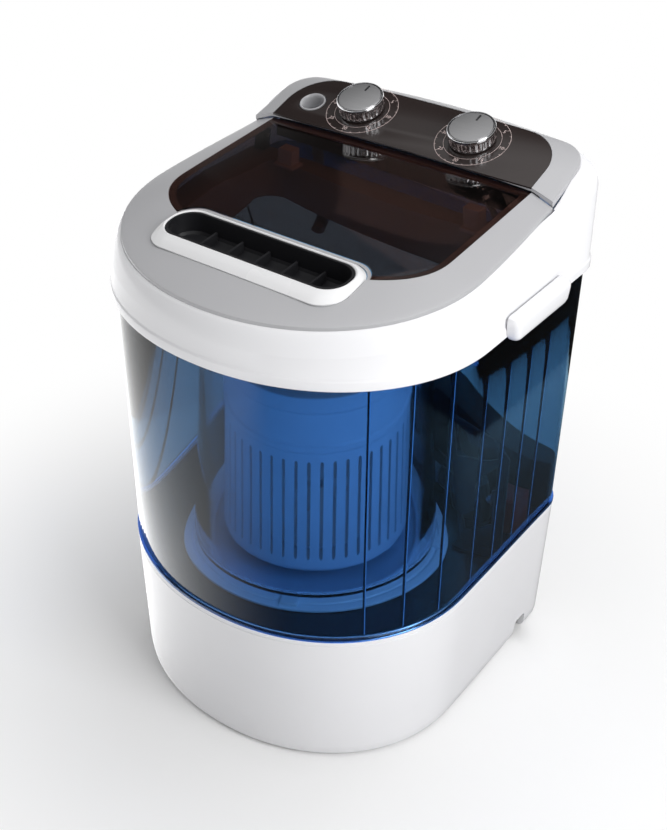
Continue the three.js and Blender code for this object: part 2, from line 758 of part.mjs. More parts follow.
function timerKnob(side) {
  const { radius, height } = KNOB;
  const profile = [
    [3.4, 0.8], [radius - 2, 0.8], [radius - 1.4, 2.4], [radius, height - 1.6], [radius - 1.2, height],
    [0, height - 0.4], [0, height - 4], [3.4, height - 4], [3.4, 0.8],
  ];
  const mark = box(-0.9, 0.9, radius - 12, radius - 4, height - 1, height + 0.8);
  return onPanel(joined(lathe(profile, 24), mark), side * KNOB.x, KNOB.y);
}

// ---------------------------------------------------------------- lid

const PAD = stadium(-97, 97, -131, -69, 22);
const CUP = stadium(-90.5, 90.5, -117.5, -78.5, 18);
const lidPlane = (offset) => (y) => lidEdge(y) + offset;
const lidLayer = (plan, low, high) => loft([at(plan, lidPlane(low)), at(plan, lidPlane(high))]);
const through = (plan) => lidLayer(plan, -10, 20);

function lidFrame() {
  const skin = crownLoft(lidEdge, CROWN, 4.5);
  const hollow = crownLoft(lidEdge, CROWN, 8, 3, 3);
  const ahead = box(-200, 200, -220, HINGE.y, 400, 560).add(hingeBarrel(0));
  const pad = lidLayer(PAD, 3, 6.2);
  const window = through(outline(GLASS, 7));
  const rearBar = box(-150, 150, HINGE.y + 7, 120, 400, 560);
  const recess = lidLayer(outline(GLASS), CROWN - GLASS_THICK - 0.1, 20);
  const padRoom = through(widened(PAD, 3));
  const frame = cut(skin.intersect(ahead), hollow, window.subtract(rearBar).subtract(padRoom), recess);
  const top = lidLayer(widened(PAD, 0.6), 6.2, 30);
  const cup = lidLayer(widened(CUP, 0.5), -30, 30);
  const ears = [-1, 1].map(hingeEar);
  return cut(joined(frame, pad, ...ears), top, cup, hingePinSolid(-1, 2.6), hingePinSolid(1, 2.6));
}

// Scales a closed plan curve outwards about its middle by a fixed margin.
function widened(points, by) {
  const half = Math.max(...points.map((p) => p.x));
  const ys = points.map((p) => p.y);
  const middle = (Math.max(...ys) + Math.min(...ys)) / 2;
  const depth = (Math.max(...ys) - Math.min(...ys)) / 2;
  return points.map(
    (p) => new THREE.Vector2((p.x * (half + by)) / half, middle + ((p.y - middle) * (depth + by)) / depth),
  );
}

const EAR_X = [144, 149];

function hingeEar(side) {
  const [x0, x1] = EAR_X.map((x) => x * side).sort((a, b) => a - b);
  return box(x0, x1, HINGE.y - 5, HINGE.y + 4, HINGE.z - 5, HINGE.z + 9);
}

function hingePinSolid(side, radius) {
  const g = new THREE.CylinderGeometry(radius, radius, 20, 16);
  g.rotateZ(Math.PI / 2);
  return solid(g.translate(side * 140.5, HINGE.y, HINGE.z));
}

function hingeBracket(side) {
  const [x0, x1] = [133, 143.4].map((x) => x * side).sort((a, b) => a - b);
  const post = box(x0, x1, HINGE.y - 5, HINGE.y + 4.6, 469.5, HINGE.z + 5);
  return cut(post, hingePinSolid(side, 2.5));
}

function lidWindow() {
  const slab = lidLayer(outline(GLASS, 0.4), CROWN - GLASS_THICK + 0.2, CROWN);
  const ahead = box(-200, 200, -220, HINGE.y, 400, 560).add(hingeBarrel(-0.3));
  const pad = through(widened(PAD, 3.4));
  return cut(slab.intersect(ahead), pad);
}

function lidHandleBezel() {
  const foot = lidPlane(6.5);
  const outer = loft([
    at(PAD, foot),
    at(PAD, lidPlane(7.5)),
    at(widened(CUP, 3), lidPlane(12)),
    at(widened(CUP, 2), lidPlane(13)),
  ]);
  const hole = lidLayer(widened(CUP, 0.6), 0, 20);
  return cut(outer, hole);
}

function lidHandleCup() {
  const levels = (pairs) => loft(pairs.map(([by, offset]) => at(widened(CUP, by), lidPlane(offset))));
  const outer = levels([[-6, -9], [0, -5], [0, 12.4]]);
  const inner = levels([[-8, -7], [-1.8, -4], [-1.8, 20]]);
  return cut(outer, inner);
}

// ---------------------------------------------------------------- build everything

part("base_housing", baseHousing(), WHITE);
part("base_pan", basePan(), BLACK);
for (const [spot, [x, y]] of Object.entries(FOOT_SPOTS)) part("foot_" + spot, moved(foot(), x, y), RUBBER);
part("deck_plate", deckPlate(), DARK_DECK);
part("cabinet_shell", cabinetShell(), BLUE_CLEAR);
part("top_frame", topFrame(), WHITE);
part("carry_handle_left", carryHandle(-1), WHITE);
part("carry_handle_right", carryHandle(1), WHITE);
part("inner_deck", innerDeck(), BLACK);
part("basket_post_left", basketPost(-1), BLACK);
part("basket_post_right", basketPost(1), BLACK);
part("wash_tub", washTub(), CLEAR);
part("tub_flange", tubFlange(), CLEAR);
part("spin_basket", spinBasket(), WHITE);
part("pulsator", pulsator(), WHITE);
part("drive_shaft", driveShaft(), STEEL);
part("basket_hub", basketHub(), STEEL);
part("bearing_housing", bearingHousing(), STEEL);
part("upper_bearing", bearing(128), STEEL);
part("lower_bearing", bearing(90), STEEL);
part("shaft_seal", shaftSeal(), RUBBER);
part("driven_pulley", drivenPulley(), BLACK);
part("motor_pulley", motorPulley(), STEEL);
part("drive_belt", driveBelt(), RUBBER);
part("motor_housing", motorHousing(), STEEL);
part("motor_shaft", motorShaft(), STEEL);
part("motor_mount", motorMount(), STEEL);
part("capacitor", capacitor(), BLACK);
part("capacitor_clip", capacitorClip(), STEEL);
part("drain_valve_body", drainValveBody(), BLACK);
part("drain_valve_plunger", drainValvePlunger(), STEEL);
part("drain_actuator", drainActuator(), COPPER_RED);
part("drain_hose", drainHose(), GREY_HOSE);
part("drain_outlet", drainOutlet(), BLACK);
part("cord_gland", cordGland(), BLACK);
part("inlet_pipe", inletPipe(5.6), GREY_HOSE);
part("wiring_harness", wiringHarness(), BLACK);
part("service_cover", serviceCover(), BLACK);
part("control_bracket", controlBracket(), BLACK);
part("panel_housing", panelHousing(), SILVER);
part("panel_plate", panelPlate(), SMOKED);
part("water_inlet", waterInlet(), SILVER);
part("wash_timer", timer(-1), BLACK);
part("spin_timer", timer(1), BLACK);
part("wash_timer_shaft", timerShaft(-1), STEEL);
part("spin_timer_shaft", timerShaft(1), STEEL);
part("wash_timer_knob", timerKnob(-1), CHROME);
part("spin_timer_knob", timerKnob(1), CHROME);
part("lid_frame", lidFrame(), SILVER);
part("lid_window", lidWindow(), SMOKED);
part("lid_handle_bezel", lidHandleBezel(), CHROME);
part("lid_handle_cup", lidHandleCup(), BLACK);
part("hinge_pin_left", hingePinSolid(-1, 2.2), STEEL);
part("hinge_pin_right", hingePinSolid(1, 2.2), STEEL);
part("hinge_bracket_left", hingeBracket(-1), BLACK);
part("hinge_bracket_right", hingeBracket(1), BLACK);

export default washer;
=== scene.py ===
"""A portable top-load washing machine: the visible pieces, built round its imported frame.

Sizes are in millimetres, heights are above the floor, and every mesh is made in metres. +X is the machine's
right, -Y its round front. Each sub-assembly is a class that holds its sizes and makes and dresses its pieces.
"""

import json
import logging
import math
from collections.abc import Callable, Iterable
from dataclasses import dataclass
from enum import Enum

import bmesh
import bpy
from bpy.types import Material, Mesh, Node, NodeSocket, NodeTree, Object
from mathutils import Matrix, Vector


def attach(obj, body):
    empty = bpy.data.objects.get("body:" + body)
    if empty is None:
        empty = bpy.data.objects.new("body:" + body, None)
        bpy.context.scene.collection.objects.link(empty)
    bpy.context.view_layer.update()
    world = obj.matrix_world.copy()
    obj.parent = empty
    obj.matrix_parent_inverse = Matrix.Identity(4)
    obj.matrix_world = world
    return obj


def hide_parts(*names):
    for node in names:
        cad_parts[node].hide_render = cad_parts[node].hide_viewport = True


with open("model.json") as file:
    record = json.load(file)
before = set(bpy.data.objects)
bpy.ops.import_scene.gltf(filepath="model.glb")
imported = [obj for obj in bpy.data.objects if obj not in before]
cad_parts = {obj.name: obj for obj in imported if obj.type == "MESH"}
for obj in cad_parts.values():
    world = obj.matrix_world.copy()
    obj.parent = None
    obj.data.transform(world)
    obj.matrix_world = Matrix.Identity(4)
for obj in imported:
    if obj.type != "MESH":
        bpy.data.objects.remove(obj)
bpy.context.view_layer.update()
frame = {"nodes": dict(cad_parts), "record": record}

MM = 0.001


Point = tuple[float, float]
Colour = tuple[float, float, float]
HeightRule = Callable[[float], float]
Ring = list[Vector]

log = logging.getLogger("washer")


# ---------------------------------------------------------------- outlines and heights


@dataclass(frozen=True)
class Plan:
    """A D-shaped outline seen from above: round front, sides that close in, round rear corners."""

    half_width: float
    front: float
    arc_centre: float
    rear: float
    rear_half_width: float
    rear_radius: float
    rear_bulge: float
    roundness: float

    FRONT_STEPS = 72
    SIDE_STEPS = 18
    CORNER_STEPS = 10
    BACK_STEPS = 5

    def ring(self, inset: float = 0.0) -> list[Point]:
        """Walk the outline once, counter-clockwise from the left end of the front.

        Args:
            inset: How far inside the outline to walk, or outside where it is negative.

        Returns:
            The same number of points whatever the inset.
        """
        half_width = self.half_width - inset
        depth = self.arc_centre - self.front - inset
        rear_half = self.rear_half_width - inset
        rear = self.rear - inset - self.rear_bulge
        radius = max(self.rear_radius - inset, 4.0)

        def power(value: float) -> float:
            """Raise a sine or cosine to the outline's own power, with its sign kept."""
            return math.copysign(abs(value) ** (2 / self.roundness), value)

        front = []
        for i in range(self.FRONT_STEPS + 1):
            turn = math.pi * (1 - i / self.FRONT_STEPS)
            x = half_width * power(math.cos(turn))
            front.append((x, self.arc_centre - depth * power(math.sin(turn))))
        right = []
        for i in range(1, self.SIDE_STEPS):
            f = i / self.SIDE_STEPS
            ease = f * f * (3 - 2 * f)
            x = half_width + (rear_half - half_width) * ease
            right.append((x, self.arc_centre + (rear - radius - self.arc_centre) * f))
        for i in range(self.CORNER_STEPS + 1):
            turn = math.pi / 2 * i / self.CORNER_STEPS
            x = rear_half - radius + radius * math.cos(turn)
            right.append((x, rear - radius + radius * math.sin(turn)))
        half = rear_half - radius
        for i in range(1, self.BACK_STEPS):
            f = 1 - i / self.BACK_STEPS
            right.append((half * f, rear + self.rear_bulge * (1 - f * f)))
        left = [(-x, y) for x, y in reversed(right)]
        return [*front, *right, (0.0, rear + self.rear_bulge), *left]

    def station(self, y: float, side: int, inset: float = 0.0) -> tuple[Vector, Vector]:
        """Find where the outline passes a given depth.

        Args:
            y: The depth to look for.
            side: 1 for the right side, -1 for the left.
            inset: How far inside the outline to look.

        Returns:
            The point and the outline's outward direction there, both flat.
        """
        ring = self.ring(inset)
        for (xa, ya), (xb, yb) in zip(ring, ring[1:]):
            if xa > 0 and ya <= y < yb:
                f = (y - ya) / (yb - ya)
                out = Vector((yb - ya, xa - xb, 0.0)).normalized()
                return Vector(((xa + (xb - xa) * f) * side, y, 0.0)), Vector((out.x * side, out.y, 0.0))
        raise ValueError(f"the outline never passes y = {y}")


BODY = Plan(177.5, -183.0, -28.5, 183.0, 176.0, 34.0, 9.0, 2.08)
GROOVE = Plan(166.5, -172.0, -28.5, 172.5, 158.0, 29.0, 8.0, 2.08)
GLASS = Plan(139.0, -101.0, -28.5, 159.5, 138.0, 40.0, 2.0, 2.3)
MOUTH = Plan(128.0, -142.0, -28.5, 66.0, 118.0, 14.0, -8.0, 2.08)

BASE_TOP = 154.0
SHELL_TOP = 438.0
SKIRT_BOTTOM = 420.5
LIP_HEIGHT = 9.0
CROWN = 9.5
PANEL_CROWN = 9.0
GLASS_THICK = 1.5
PANEL_SLOPE = 0.33
PANEL_TILT = math.atan(PANEL_SLOPE)
HINGE = (83.0, 486.0)
TUB_CENTRE = (0.0, -17.0)
DECK_TOP = 152.5


def floor_level(_y: float) -> float:
    """Return the height rule of rings that are given by their height above the floor."""
    return 0.0


def lid_edge(y: float) -> float:
    """Return the height of the lid's edge, a plane that rises gently to the back."""
    return 481.5 + 0.1 * y


def panel_top(y: float) -> float:
    """Return the height of the control panel's glass."""
    return 516.4 + PANEL_SLOPE * (y - 128.6)


def panel_edge(y: float) -> float:
    """Return the height of the control panel's edge."""
    return panel_top(y) - PANEL_CROWN


def rim(y: float) -> float:
    """Return the height of the white rim, which follows the lid and climbs beside the panel."""
    f = min(max((y - 92) / 40, 0.0), 1.0)
    climb = f * f * (3 - 2 * f)
    return lid_edge(y) + (panel_edge(y) - lid_edge(y)) * climb


@dataclass(frozen=True)
class Level:
    """One ring of a skin: how far inside the outer outline, how far over to the inner one, and how high."""

    inset: float
    height: float
    blend: float = 0.0
    inner_inset: float = 0.0
    rule: HeightRule = floor_level


def smooth(levels: list[Level], steps: int = 5) -> list[Level]:
    """Put rings between the given ones, on a soft curve that passes through each.

    Args:
        levels: The rings that the curve passes, which share one height rule.
        steps: How many rings to make for each one given.

    Returns:
        The finer list, with the same first and last ring.
    """
    rows = [(lv.inset, lv.height, lv.blend, lv.inner_inset) for lv in levels]
    return [Level(*row, levels[0].rule) for row in curve_through(rows, steps)]


def curve_through(rows: list[tuple[float, ...]], steps: int) -> list[tuple[float, ...]]:
    """Return points on a Catmull-Rom curve through rows of numbers, steps to each stretch.

    Args:
        rows: The rows that the curve passes, all of one length.
        steps: How many points to make for each stretch.

    Returns:
        The finer rows, ending on the last row given.
    """
    padded = [rows[0], *rows, rows[-1]]
    fine: list[tuple[float, ...]] = []
    for a, b, c, d in zip(padded, padded[1:], padded[2:], padded[3:]):
        for i in range(steps):
            t = i / steps
            fine.append(tuple(
                0.5 * (2 * q + (r - p) * t + (2 * p - 5 * q + 4 * r - s) * t * t
                       + (3 * q - p - 3 * r + s) * t ** 3)
                for p, q, r, s in zip(a, b, c, d)))
    return [*fine, rows[-1]]


def rings_of(levels: Iterable[Level], outer: Plan, inner: Plan) -> list[Ring]:
    """Turn levels into rings of points between two outlines.

    Args:
        levels: The rings to make, from first to last.
        outer: The outline that insets are measured from.
        inner: The outline that a level blends towards.

    Returns:
        One ring of points for each level.
    """
    rings = []
    for lv in levels:
        near = outer.ring(lv.inset)
        far = inner.ring(lv.inner_inset) if lv.blend else near
        flat = [(a[0] + (b[0] - a[0]) * lv.blend, a[1] + (b[1] - a[1]) * lv.blend)
                for a, b in zip(near, far)]
        rings.append([Vector((x, y, lv.rule(y) + lv.height)) for x, y in flat])
    return rings


def stadium(x_half: float, y0: float, y1: float, radius: float, steps: int = 16) -> list[Point]:
    """Return a rectangle with round corners, counter-clockwise, centred on x = 0.

    Args:
        x_half: Half the width.
        y0: The front edge.
        y1: The rear edge.
        radius: The corners' radius.
        steps: How many chords to make for each corner.

    Returns:
        The outline's points, not closed on itself.
    """
    centres = [(x_half - radius, y0 + radius, -90), (x_half - radius, y1 - radius, 0),
               (radius - x_half, y1 - radius, 90), (radius - x_half, y0 + radius, 180)]
    points = []
    for cx, cy, start in centres:
        for i in range(steps + 1):
            turn = math.radians(start + 90 * i / steps)
            points.append((cx + radius * math.cos(turn), cy + radius * math.sin(turn)))
    return points


def widened(points: list[Point], by: float) -> list[Point]:
    """Return a closed outline drawn out about its middle by a margin."""
    half = max(x for x, _ in points)
    top, bottom = max(y for _, y in points), min(y for _, y in points)
    middle, depth = (top + bottom) / 2, (top - bottom) / 2
    return [(x * (half + by) / half, middle + (y - middle) * (depth + by) / depth) for x, y in points]


def rounded(corners: list[Point], radius: float, steps: int = 4, closed: bool = True) -> list[Point]:
    """Round every corner of a section.

    Args:
        corners: The section's corners in order.
        radius: The radius at each corner, less where the sides are short.
        steps: The number of stretches in each arc.
        closed: Whether the section comes back to its first corner.

    Returns:
        The section with its corners replaced by arcs; an open section keeps its two ends.
    """
    count = len(corners)
    fine: list[Point] = []
    for i, corner in enumerate(corners):
        if not closed and i in (0, count - 1):
            fine.append(corner)
            continue
        here = Vector(corner)
        before, after = Vector(corners[i - 1]) - here, Vector(corners[(i + 1) % count]) - here
        reach = min(radius, before.length * 0.45, after.length * 0.45)
        if reach < 1e-4 or before.angle(after) > math.radians(176):
            fine.append(corner)
            continue
        start, end = here + before.normalized() * reach, here + after.normalized() * reach
        for k in range(steps + 1):
            t = k / steps
            at = start * (1 - t) ** 2 + here * 2 * t * (1 - t) + end * t * t
            fine.append((at.x, at.y))
    return fine


# ---------------------------------------------------------------- making meshes


def new_object(name: str, points: list[Vector], faces: list[tuple[int, ...]], angle: float = 32) -> Object:
    """Make a mesh object from points in millimetres.

    Args:
        name: The piece's name.
        points: The vertices.
        faces: The faces as vertex numbers.
        angle: Edges sharper than this many degrees stay sharp in the shading.

    Returns:
        The object, linked to the scene, with its faces pointing out.
    """
    mesh = bpy.data.meshes.new(name)
    mesh.from_pydata([p * MM for p in points], [], faces)
    work = bmesh.new()
    work.from_mesh(mesh)
    bmesh.ops.remove_doubles(work, verts=work.verts, dist=1e-7)
    bmesh.ops.recalc_face_normals(work, faces=work.faces)
    work.to_mesh(mesh)
    work.free()
    shade(mesh, angle)
    piece = bpy.data.objects.new(name, mesh)
    bpy.context.scene.collection.objects.link(piece)
    return piece


def shade(mesh: Mesh, angle: float = 32) -> None:
    """Shade a mesh smooth, with edges over the angle kept sharp."""
    mesh.shade_smooth()
    mesh.set_sharp_from_angle(angle=math.radians(angle))


def skin(name: str, rings: list[Ring], closed: bool = False, angle: float = 32) -> Object:
    """Join rings of equal length into one skin.

    Args:
        name: The piece's name.
        rings: The rings in order.
        closed: Whether the last ring joins the first; if not, both ends are capped.
        angle: The shading angle in degrees.

    Returns:
        The new object.
    """
    count = len(rings[0])
    faces = []
    pairs = len(rings) if closed else len(rings) - 1
    for r in range(pairs):
        low, high = r * count, ((r + 1) % len(rings)) * count
        for i in range(count):
            j = (i + 1) % count
            faces.append((low + i, low + j, high + j, high + i))
    if not closed:
        faces.append(tuple(reversed(range(count))))
        faces.append(tuple(range((len(rings) - 1) * count, len(rings) * count)))
    return new_object(name, [p for ring in rings for p in ring], faces, angle)


def stacked(name: str, layers: list[tuple[list[Point], float]], rule: HeightRule = floor_level,
            closed: bool = False) -> Object:
    """Join flat outlines, each with its height over a rule, into one skin."""
    rings = [[Vector((x, y, rule(y) + height)) for x, y in outline] for outline, height in layers]
    return skin(name, rings, closed)


def turned(name: str, profile: list[Point], segments: int = 96, centre: Point = (0.0, 0.0)) -> Object:
    """Turn a closed profile about a vertical axis.

    Args:
        name: The piece's name.
        profile: Radius and height of each point, in a loop.
        segments: The number of stretches round the axis.
        centre: Where the axis stands.

    Returns:
        The new object.
    """
    rings = []
    for radius, height in profile:
        ring = []
        for i in range(segments):
            turn = 2 * math.pi * i / segments
            x, y = radius * math.cos(turn), radius * math.sin(turn)
            ring.append(Vector((centre[0] + x, centre[1] + y, height)))
        rings.append(ring)
    return skin(name, rings, closed=True)


def block(x: Point, y: Point, z: Point) -> Object:
    """Make a plain block, only ever used to cut with."""
    outline = [(x[0], y[0]), (x[1], y[0]), (x[1], y[1]), (x[0], y[1])]
    return stacked("cutter", [(outline, z[0]), (outline, z[1])])


def rod(radius: float, z: Point, place: Matrix, segments: int = 48) -> Object:
    """Make a plain round bar, only ever used to cut with.

    Args:
        radius: The bar's radius.
        z: The heights of its two ends.
        place: Where it stands.
        segments: How many sides it has.

    Returns:
        The bar.
    """
    outline = [(radius * math.cos(2 * math.pi * i / segments), radius * math.sin(2 * math.pi * i / segments))
               for i in range(segments)]
    bar = stacked("cutter", [(outline, z[0]), (outline, z[1])])
    bar.matrix_world = place
    return bar


class Carve(Enum):
    """How one solid works on another."""

    AWAY = "DIFFERENCE"
    WITHIN = "INTERSECT"
    JOIN = "UNION"


def carve(piece: Object, *tools: Object, mode: Carve = Carve.AWAY, angle: float = 32) -> Object:
    """Cut, clip or join a piece with other solids, which are used up.

    Args:
        piece: The piece that stays.
        tools: The solids that work on it.
        mode: What they do.
        angle: The shading angle in degrees.

    Returns:
        The piece with its new mesh.
    """
    for tool in tools:
        modifier = piece.modifiers.new("carve", "BOOLEAN")
        modifier.operation = mode.value
        modifier.solver = "MANIFOLD"
        modifier.object = tool
    bake_modifiers(piece)
    for tool in tools:
        bpy.data.objects.remove(tool)
    shade(piece.data, angle)
    return piece


def bake_modifiers(piece: Object) -> Object:
    """Apply a piece's modifiers to its mesh.

    Args:
        piece: The piece, which is changed.

    Returns:
        The same piece, with no modifiers left.
    """
    bpy.context.view_layer.update()
    graph = bpy.context.evaluated_depsgraph_get()
    piece.data = bpy.data.meshes.new_from_object(piece.evaluated_get(graph))
    piece.modifiers.clear()
    return piece


def merged(name: str, parts: list[Object]) -> Object:
    """Put several objects' meshes into one object, where they stand.

    Args:
        name: The new object's name.
        parts: The objects to join, which are removed.

    Returns:
        The joined object.
    """
    work = bmesh.new()
    for item in parts:
        copy = item.data.copy()
        copy.transform(item.matrix_world)
        work.from_mesh(copy)
        bpy.data.meshes.remove(copy)
        bpy.data.objects.remove(item)
    mesh = bpy.data.meshes.new(name)
    work.to_mesh(mesh)
    work.free()
    shade(mesh)
    piece = bpy.data.objects.new(name, mesh)
    bpy.context.scene.collection.objects.link(piece)
    return piece


def softened(node: str, width: float, segments: int = 3) -> Object:
    """Copy a frame node and round its edges.

    Args:
        node: The frame node to copy.
        width: How wide the rounding is.
        segments: How many facets it has.

    Returns:
        The new piece, which stands for the node.
    """
    work = bmesh.new()
    work.from_mesh(frame["nodes"][node].data)
    bmesh.ops.remove_doubles(work, verts=work.verts, dist=1e-6)
    bmesh.ops.dissolve_limit(work, angle_limit=math.radians(1), verts=work.verts, edges=work.edges)
    mesh = bpy.data.meshes.new(node + "_fine")
    work.to_mesh(mesh)
    work.free()
    piece = bpy.data.objects.new(node + "_fine", mesh)
    bpy.context.scene.collection.objects.link(piece)
    modifier = piece.modifiers.new("soft", "BEVEL")
    modifier.width = width * MM
    modifier.segments = segments
    modifier.limit_method = "ANGLE"
    modifier.angle_limit = math.radians(40)
    bake_modifiers(piece)
    shade(piece.data, 40)
    return piece


def swept(name: str, route: list[Vector], radius: Callable[[float], float], sides: int = 24,
          steps: int = 10) -> Object:
    """Sweep a round section along a route.

    Args:
        name: The piece's name.
        route: Points that the centre line passes.
        radius: The radius as a rule of the length travelled.
        sides: The section's corners.
        steps: Rings between two points of the route.

    Returns:
        The new object, closed at both ends.
    """
    line = [Vector(p) for p in curve_through([tuple(p) for p in route], steps)]
    side = (line[1] - line[0]).orthogonal().normalized()
    rings, travelled = [], 0.0
    for i, here in enumerate(line):
        travelled += (here - line[i - 1]).length if i else 0.0
        heading = (line[min(i + 1, len(line) - 1)] - line[max(i - 1, 0)]).normalized()
        side = (side - heading * side.dot(heading)).normalized()
        other = heading.cross(side)
        r = radius(travelled)
        rings.append([here + (side * math.cos(t) + other * math.sin(t)) * r
                      for t in (2 * math.pi * k / sides for k in range(sides))])
    return skin(name, rings)


def hinge_barrel(extra: float, segments: int = 120) -> Object:
    """Make the solid about the hinge line that shapes the joint between lid and panel.

    Args:
        extra: How much larger than the lid's own rear edge it is.
        segments: The facets round the hinge line.

    Returns:
        The cutting solid.
    """
    joint = [(0, 101.5), (60, 100.6), (100, 99.4), (135, 97.5), (152, 95.2), (168, 94.6)]
    y0, z0 = HINGE
    depth = lid_edge(y0) + CROWN - z0
    profile = []
    for x, y in curve_through([(float(a), float(b)) for a, b in joint], 4):
        drop = 8 * (x - 140) / 28 if x > 140 else 0.0
        profile.append((x, math.hypot(y - y0, depth - drop) + extra))
    half = [(-x, r) for x, r in reversed(profile[1:])] + profile
    rings = []
    for x, r in half:
        rings.append([Vector((x, y0 + r * math.cos(t), z0 + r * math.sin(t)))
                      for t in (2 * math.pi * k / segments for k in range(segments))])
    return skin("cutter", rings)


# ---------------------------------------------------------------- shader effects


def socket_value(node: Node, name: str, value: object) -> None:
    """Set an input socket's own value."""
    node.inputs[name].default_value = value


class Effects:
    """The shader node groups that several finishes use, each built once."""

    def __init__(self) -> None:
        """Build every group."""
        self.moulded = self._moulded()
        self.brushed = self._brushed()
        self.smudged = self._smudged()
        self.worn = self._worn()

    @staticmethod
    def _group(name: str, inputs: dict[str, tuple[str, object]], outputs: dict[str, str]) -> NodeTree:
        """Make an empty group.

        Args:
            name: The group's name.
            inputs: Each input's socket type and value.
            outputs: Each output's socket type.

        Returns:
            The group, with its input and output nodes in place.
        """
        tree = bpy.data.node_groups.new(name, "ShaderNodeTree")
        for label, (kind, value) in inputs.items():
            socket = tree.interface.new_socket(name=label, in_out="INPUT", socket_type=kind)
            socket.default_value = value
        for label, kind in outputs.items():
            tree.interface.new_socket(name=label, in_out="OUTPUT", socket_type=kind)
        tree.nodes.new("NodeGroupInput").name = "in"
        tree.nodes.new("NodeGroupOutput").name = "out"
        return tree

    @staticmethod
    def _noise(tree: NodeTree, vector: NodeSocket, scale: NodeSocket | float, detail: float) -> Node:
        """Put a noise texture on a vector, with its scale set or linked.

        Args:
            tree: The node tree to add to.
            vector: Where the noise is read.
            scale: A number, or the socket that sets it.
            detail: How many finer layers it has.

        Returns:
            The noise node.
        """
        noise = tree.nodes.new("ShaderNodeTexNoise")
        tree.links.new(vector, noise.inputs["Vector"])
        if isinstance(scale, NodeSocket):
            tree.links.new(scale, noise.inputs["Scale"])
        else:
            socket_value(noise, "Scale", scale)
        socket_value(noise, "Detail", detail)
        return noise

    @staticmethod
    def _spread(tree: NodeTree, value: NodeSocket, middle: NodeSocket, width: NodeSocket,
                clamp: bool = True) -> NodeSocket:
        """Return middle + (value - 0.5) * width, held between 0 and 1 where clamp is set.

        Args:
            tree: The node tree to add to.
            value: A value between 0 and 1.
            middle: What a value of 0.5 becomes.
            width: How far the result runs from end to end.
            clamp: Whether to hold the result between 0 and 1.

        Returns:
            The result's socket.
        """
        centred = tree.nodes.new("ShaderNodeMath")
        centred.operation = "SUBTRACT"
        tree.links.new(value, centred.inputs[0])
        centred.inputs[1].default_value = 0.5
        scaled = tree.nodes.new("ShaderNodeMath")
        scaled.operation = "MULTIPLY_ADD"
        scaled.use_clamp = clamp
        tree.links.new(centred.outputs[0], scaled.inputs[0])
        tree.links.new(width, scaled.inputs[1])
        tree.links.new(middle, scaled.inputs[2])
        return scaled.outputs[0]

    @staticmethod
    def _bump(tree: NodeTree, height: NodeSocket, depth: NodeSocket) -> NodeSocket:
        """Turn a height into a normal; the depth is in metres.

        Args:
            tree: The node tree to add to.
            height: The height.
            depth: The depth of a height of 1.

        Returns:
            The normal's socket.
        """
        bump = tree.nodes.new("ShaderNodeBump")
        tree.links.new(height, bump.inputs["Height"])
        tree.links.new(depth, bump.inputs["Distance"])
        socket_value(bump, "Strength", 0.6)
        return bump.outputs["Normal"]

    def _moulded(self) -> NodeTree:
        """Moulded plastic: colour that drifts a little, uneven gloss and a fine mould grain.

        Returns:
            The node group, with its named inputs and outputs.
        """
        tree = self._group("moulded_plastic", {
            "Tint": ("NodeSocketColor", (0.8, 0.8, 0.8, 1)),
            "Drift": ("NodeSocketFloat", 0.05),
            "Gloss": ("NodeSocketFloat", 0.25),
            "Gloss Drift": ("NodeSocketFloat", 0.1),
            "Grain Size": ("NodeSocketFloat", 900.0),
            "Grain Depth": ("NodeSocketFloat", 0.00002),
        }, {"Color": "NodeSocketColor", "Roughness": "NodeSocketFloat", "Normal": "NodeSocketVector"})
        inward, outward = tree.nodes["in"], tree.nodes["out"]
        place = tree.nodes.new("ShaderNodeTexCoord").outputs["Object"]
        cloud = self._noise(tree, place, 14.0, 3.0)
        grain = self._noise(tree, place, inward.outputs["Grain Size"], 2.0)
        shift = tree.nodes.new("ShaderNodeHueSaturation")
        one = tree.nodes.new("ShaderNodeValue")
        one.outputs[0].default_value = 1.0
        value = self._spread(tree, cloud.outputs["Fac"], one.outputs[0], inward.outputs["Drift"], clamp=False)
        tree.links.new(value, shift.inputs["Value"])
        tree.links.new(inward.outputs["Tint"], shift.inputs["Color"])
        tree.links.new(shift.outputs["Color"], outward.inputs["Color"])
        tree.links.new(self._spread(tree, cloud.outputs["Fac"], inward.outputs["Gloss"],
                                    inward.outputs["Gloss Drift"]), outward.inputs["Roughness"])
        tree.links.new(self._bump(tree, grain.outputs["Fac"], inward.outputs["Grain Depth"]),
                       outward.inputs["Normal"])
        return tree

    def _brushed(self) -> NodeTree:
        """Brushed metal: fine straight lines along local X, as a roughness and a normal.

        Returns:
            The node group, with its named inputs and outputs.
        """
        tree = self._group("brushed_lines", {
            "Gloss": ("NodeSocketFloat", 0.3),
            "Gloss Drift": ("NodeSocketFloat", 0.25),
            "Line Depth": ("NodeSocketFloat", 0.00002),
        }, {"Roughness": "NodeSocketFloat", "Normal": "NodeSocketVector", "Lines": "NodeSocketFloat"})
        inward, outward = tree.nodes["in"], tree.nodes["out"]
        stretch = tree.nodes.new("ShaderNodeMapping")
        stretch.inputs["Scale"].default_value = (30.0, 2600.0, 2600.0)
        tree.links.new(tree.nodes.new("ShaderNodeTexCoord").outputs["Object"], stretch.inputs["Vector"])
        lines = self._noise(tree, stretch.outputs["Vector"], 1.0, 3.0)
        tree.links.new(self._spread(tree, lines.outputs["Fac"], inward.outputs["Gloss"],
                                    inward.outputs["Gloss Drift"]), outward.inputs["Roughness"])
        tree.links.new(self._bump(tree, lines.outputs["Fac"], inward.outputs["Line Depth"]),
                       outward.inputs["Normal"])
        tree.links.new(lines.outputs["Fac"], outward.inputs["Lines"])
        return tree

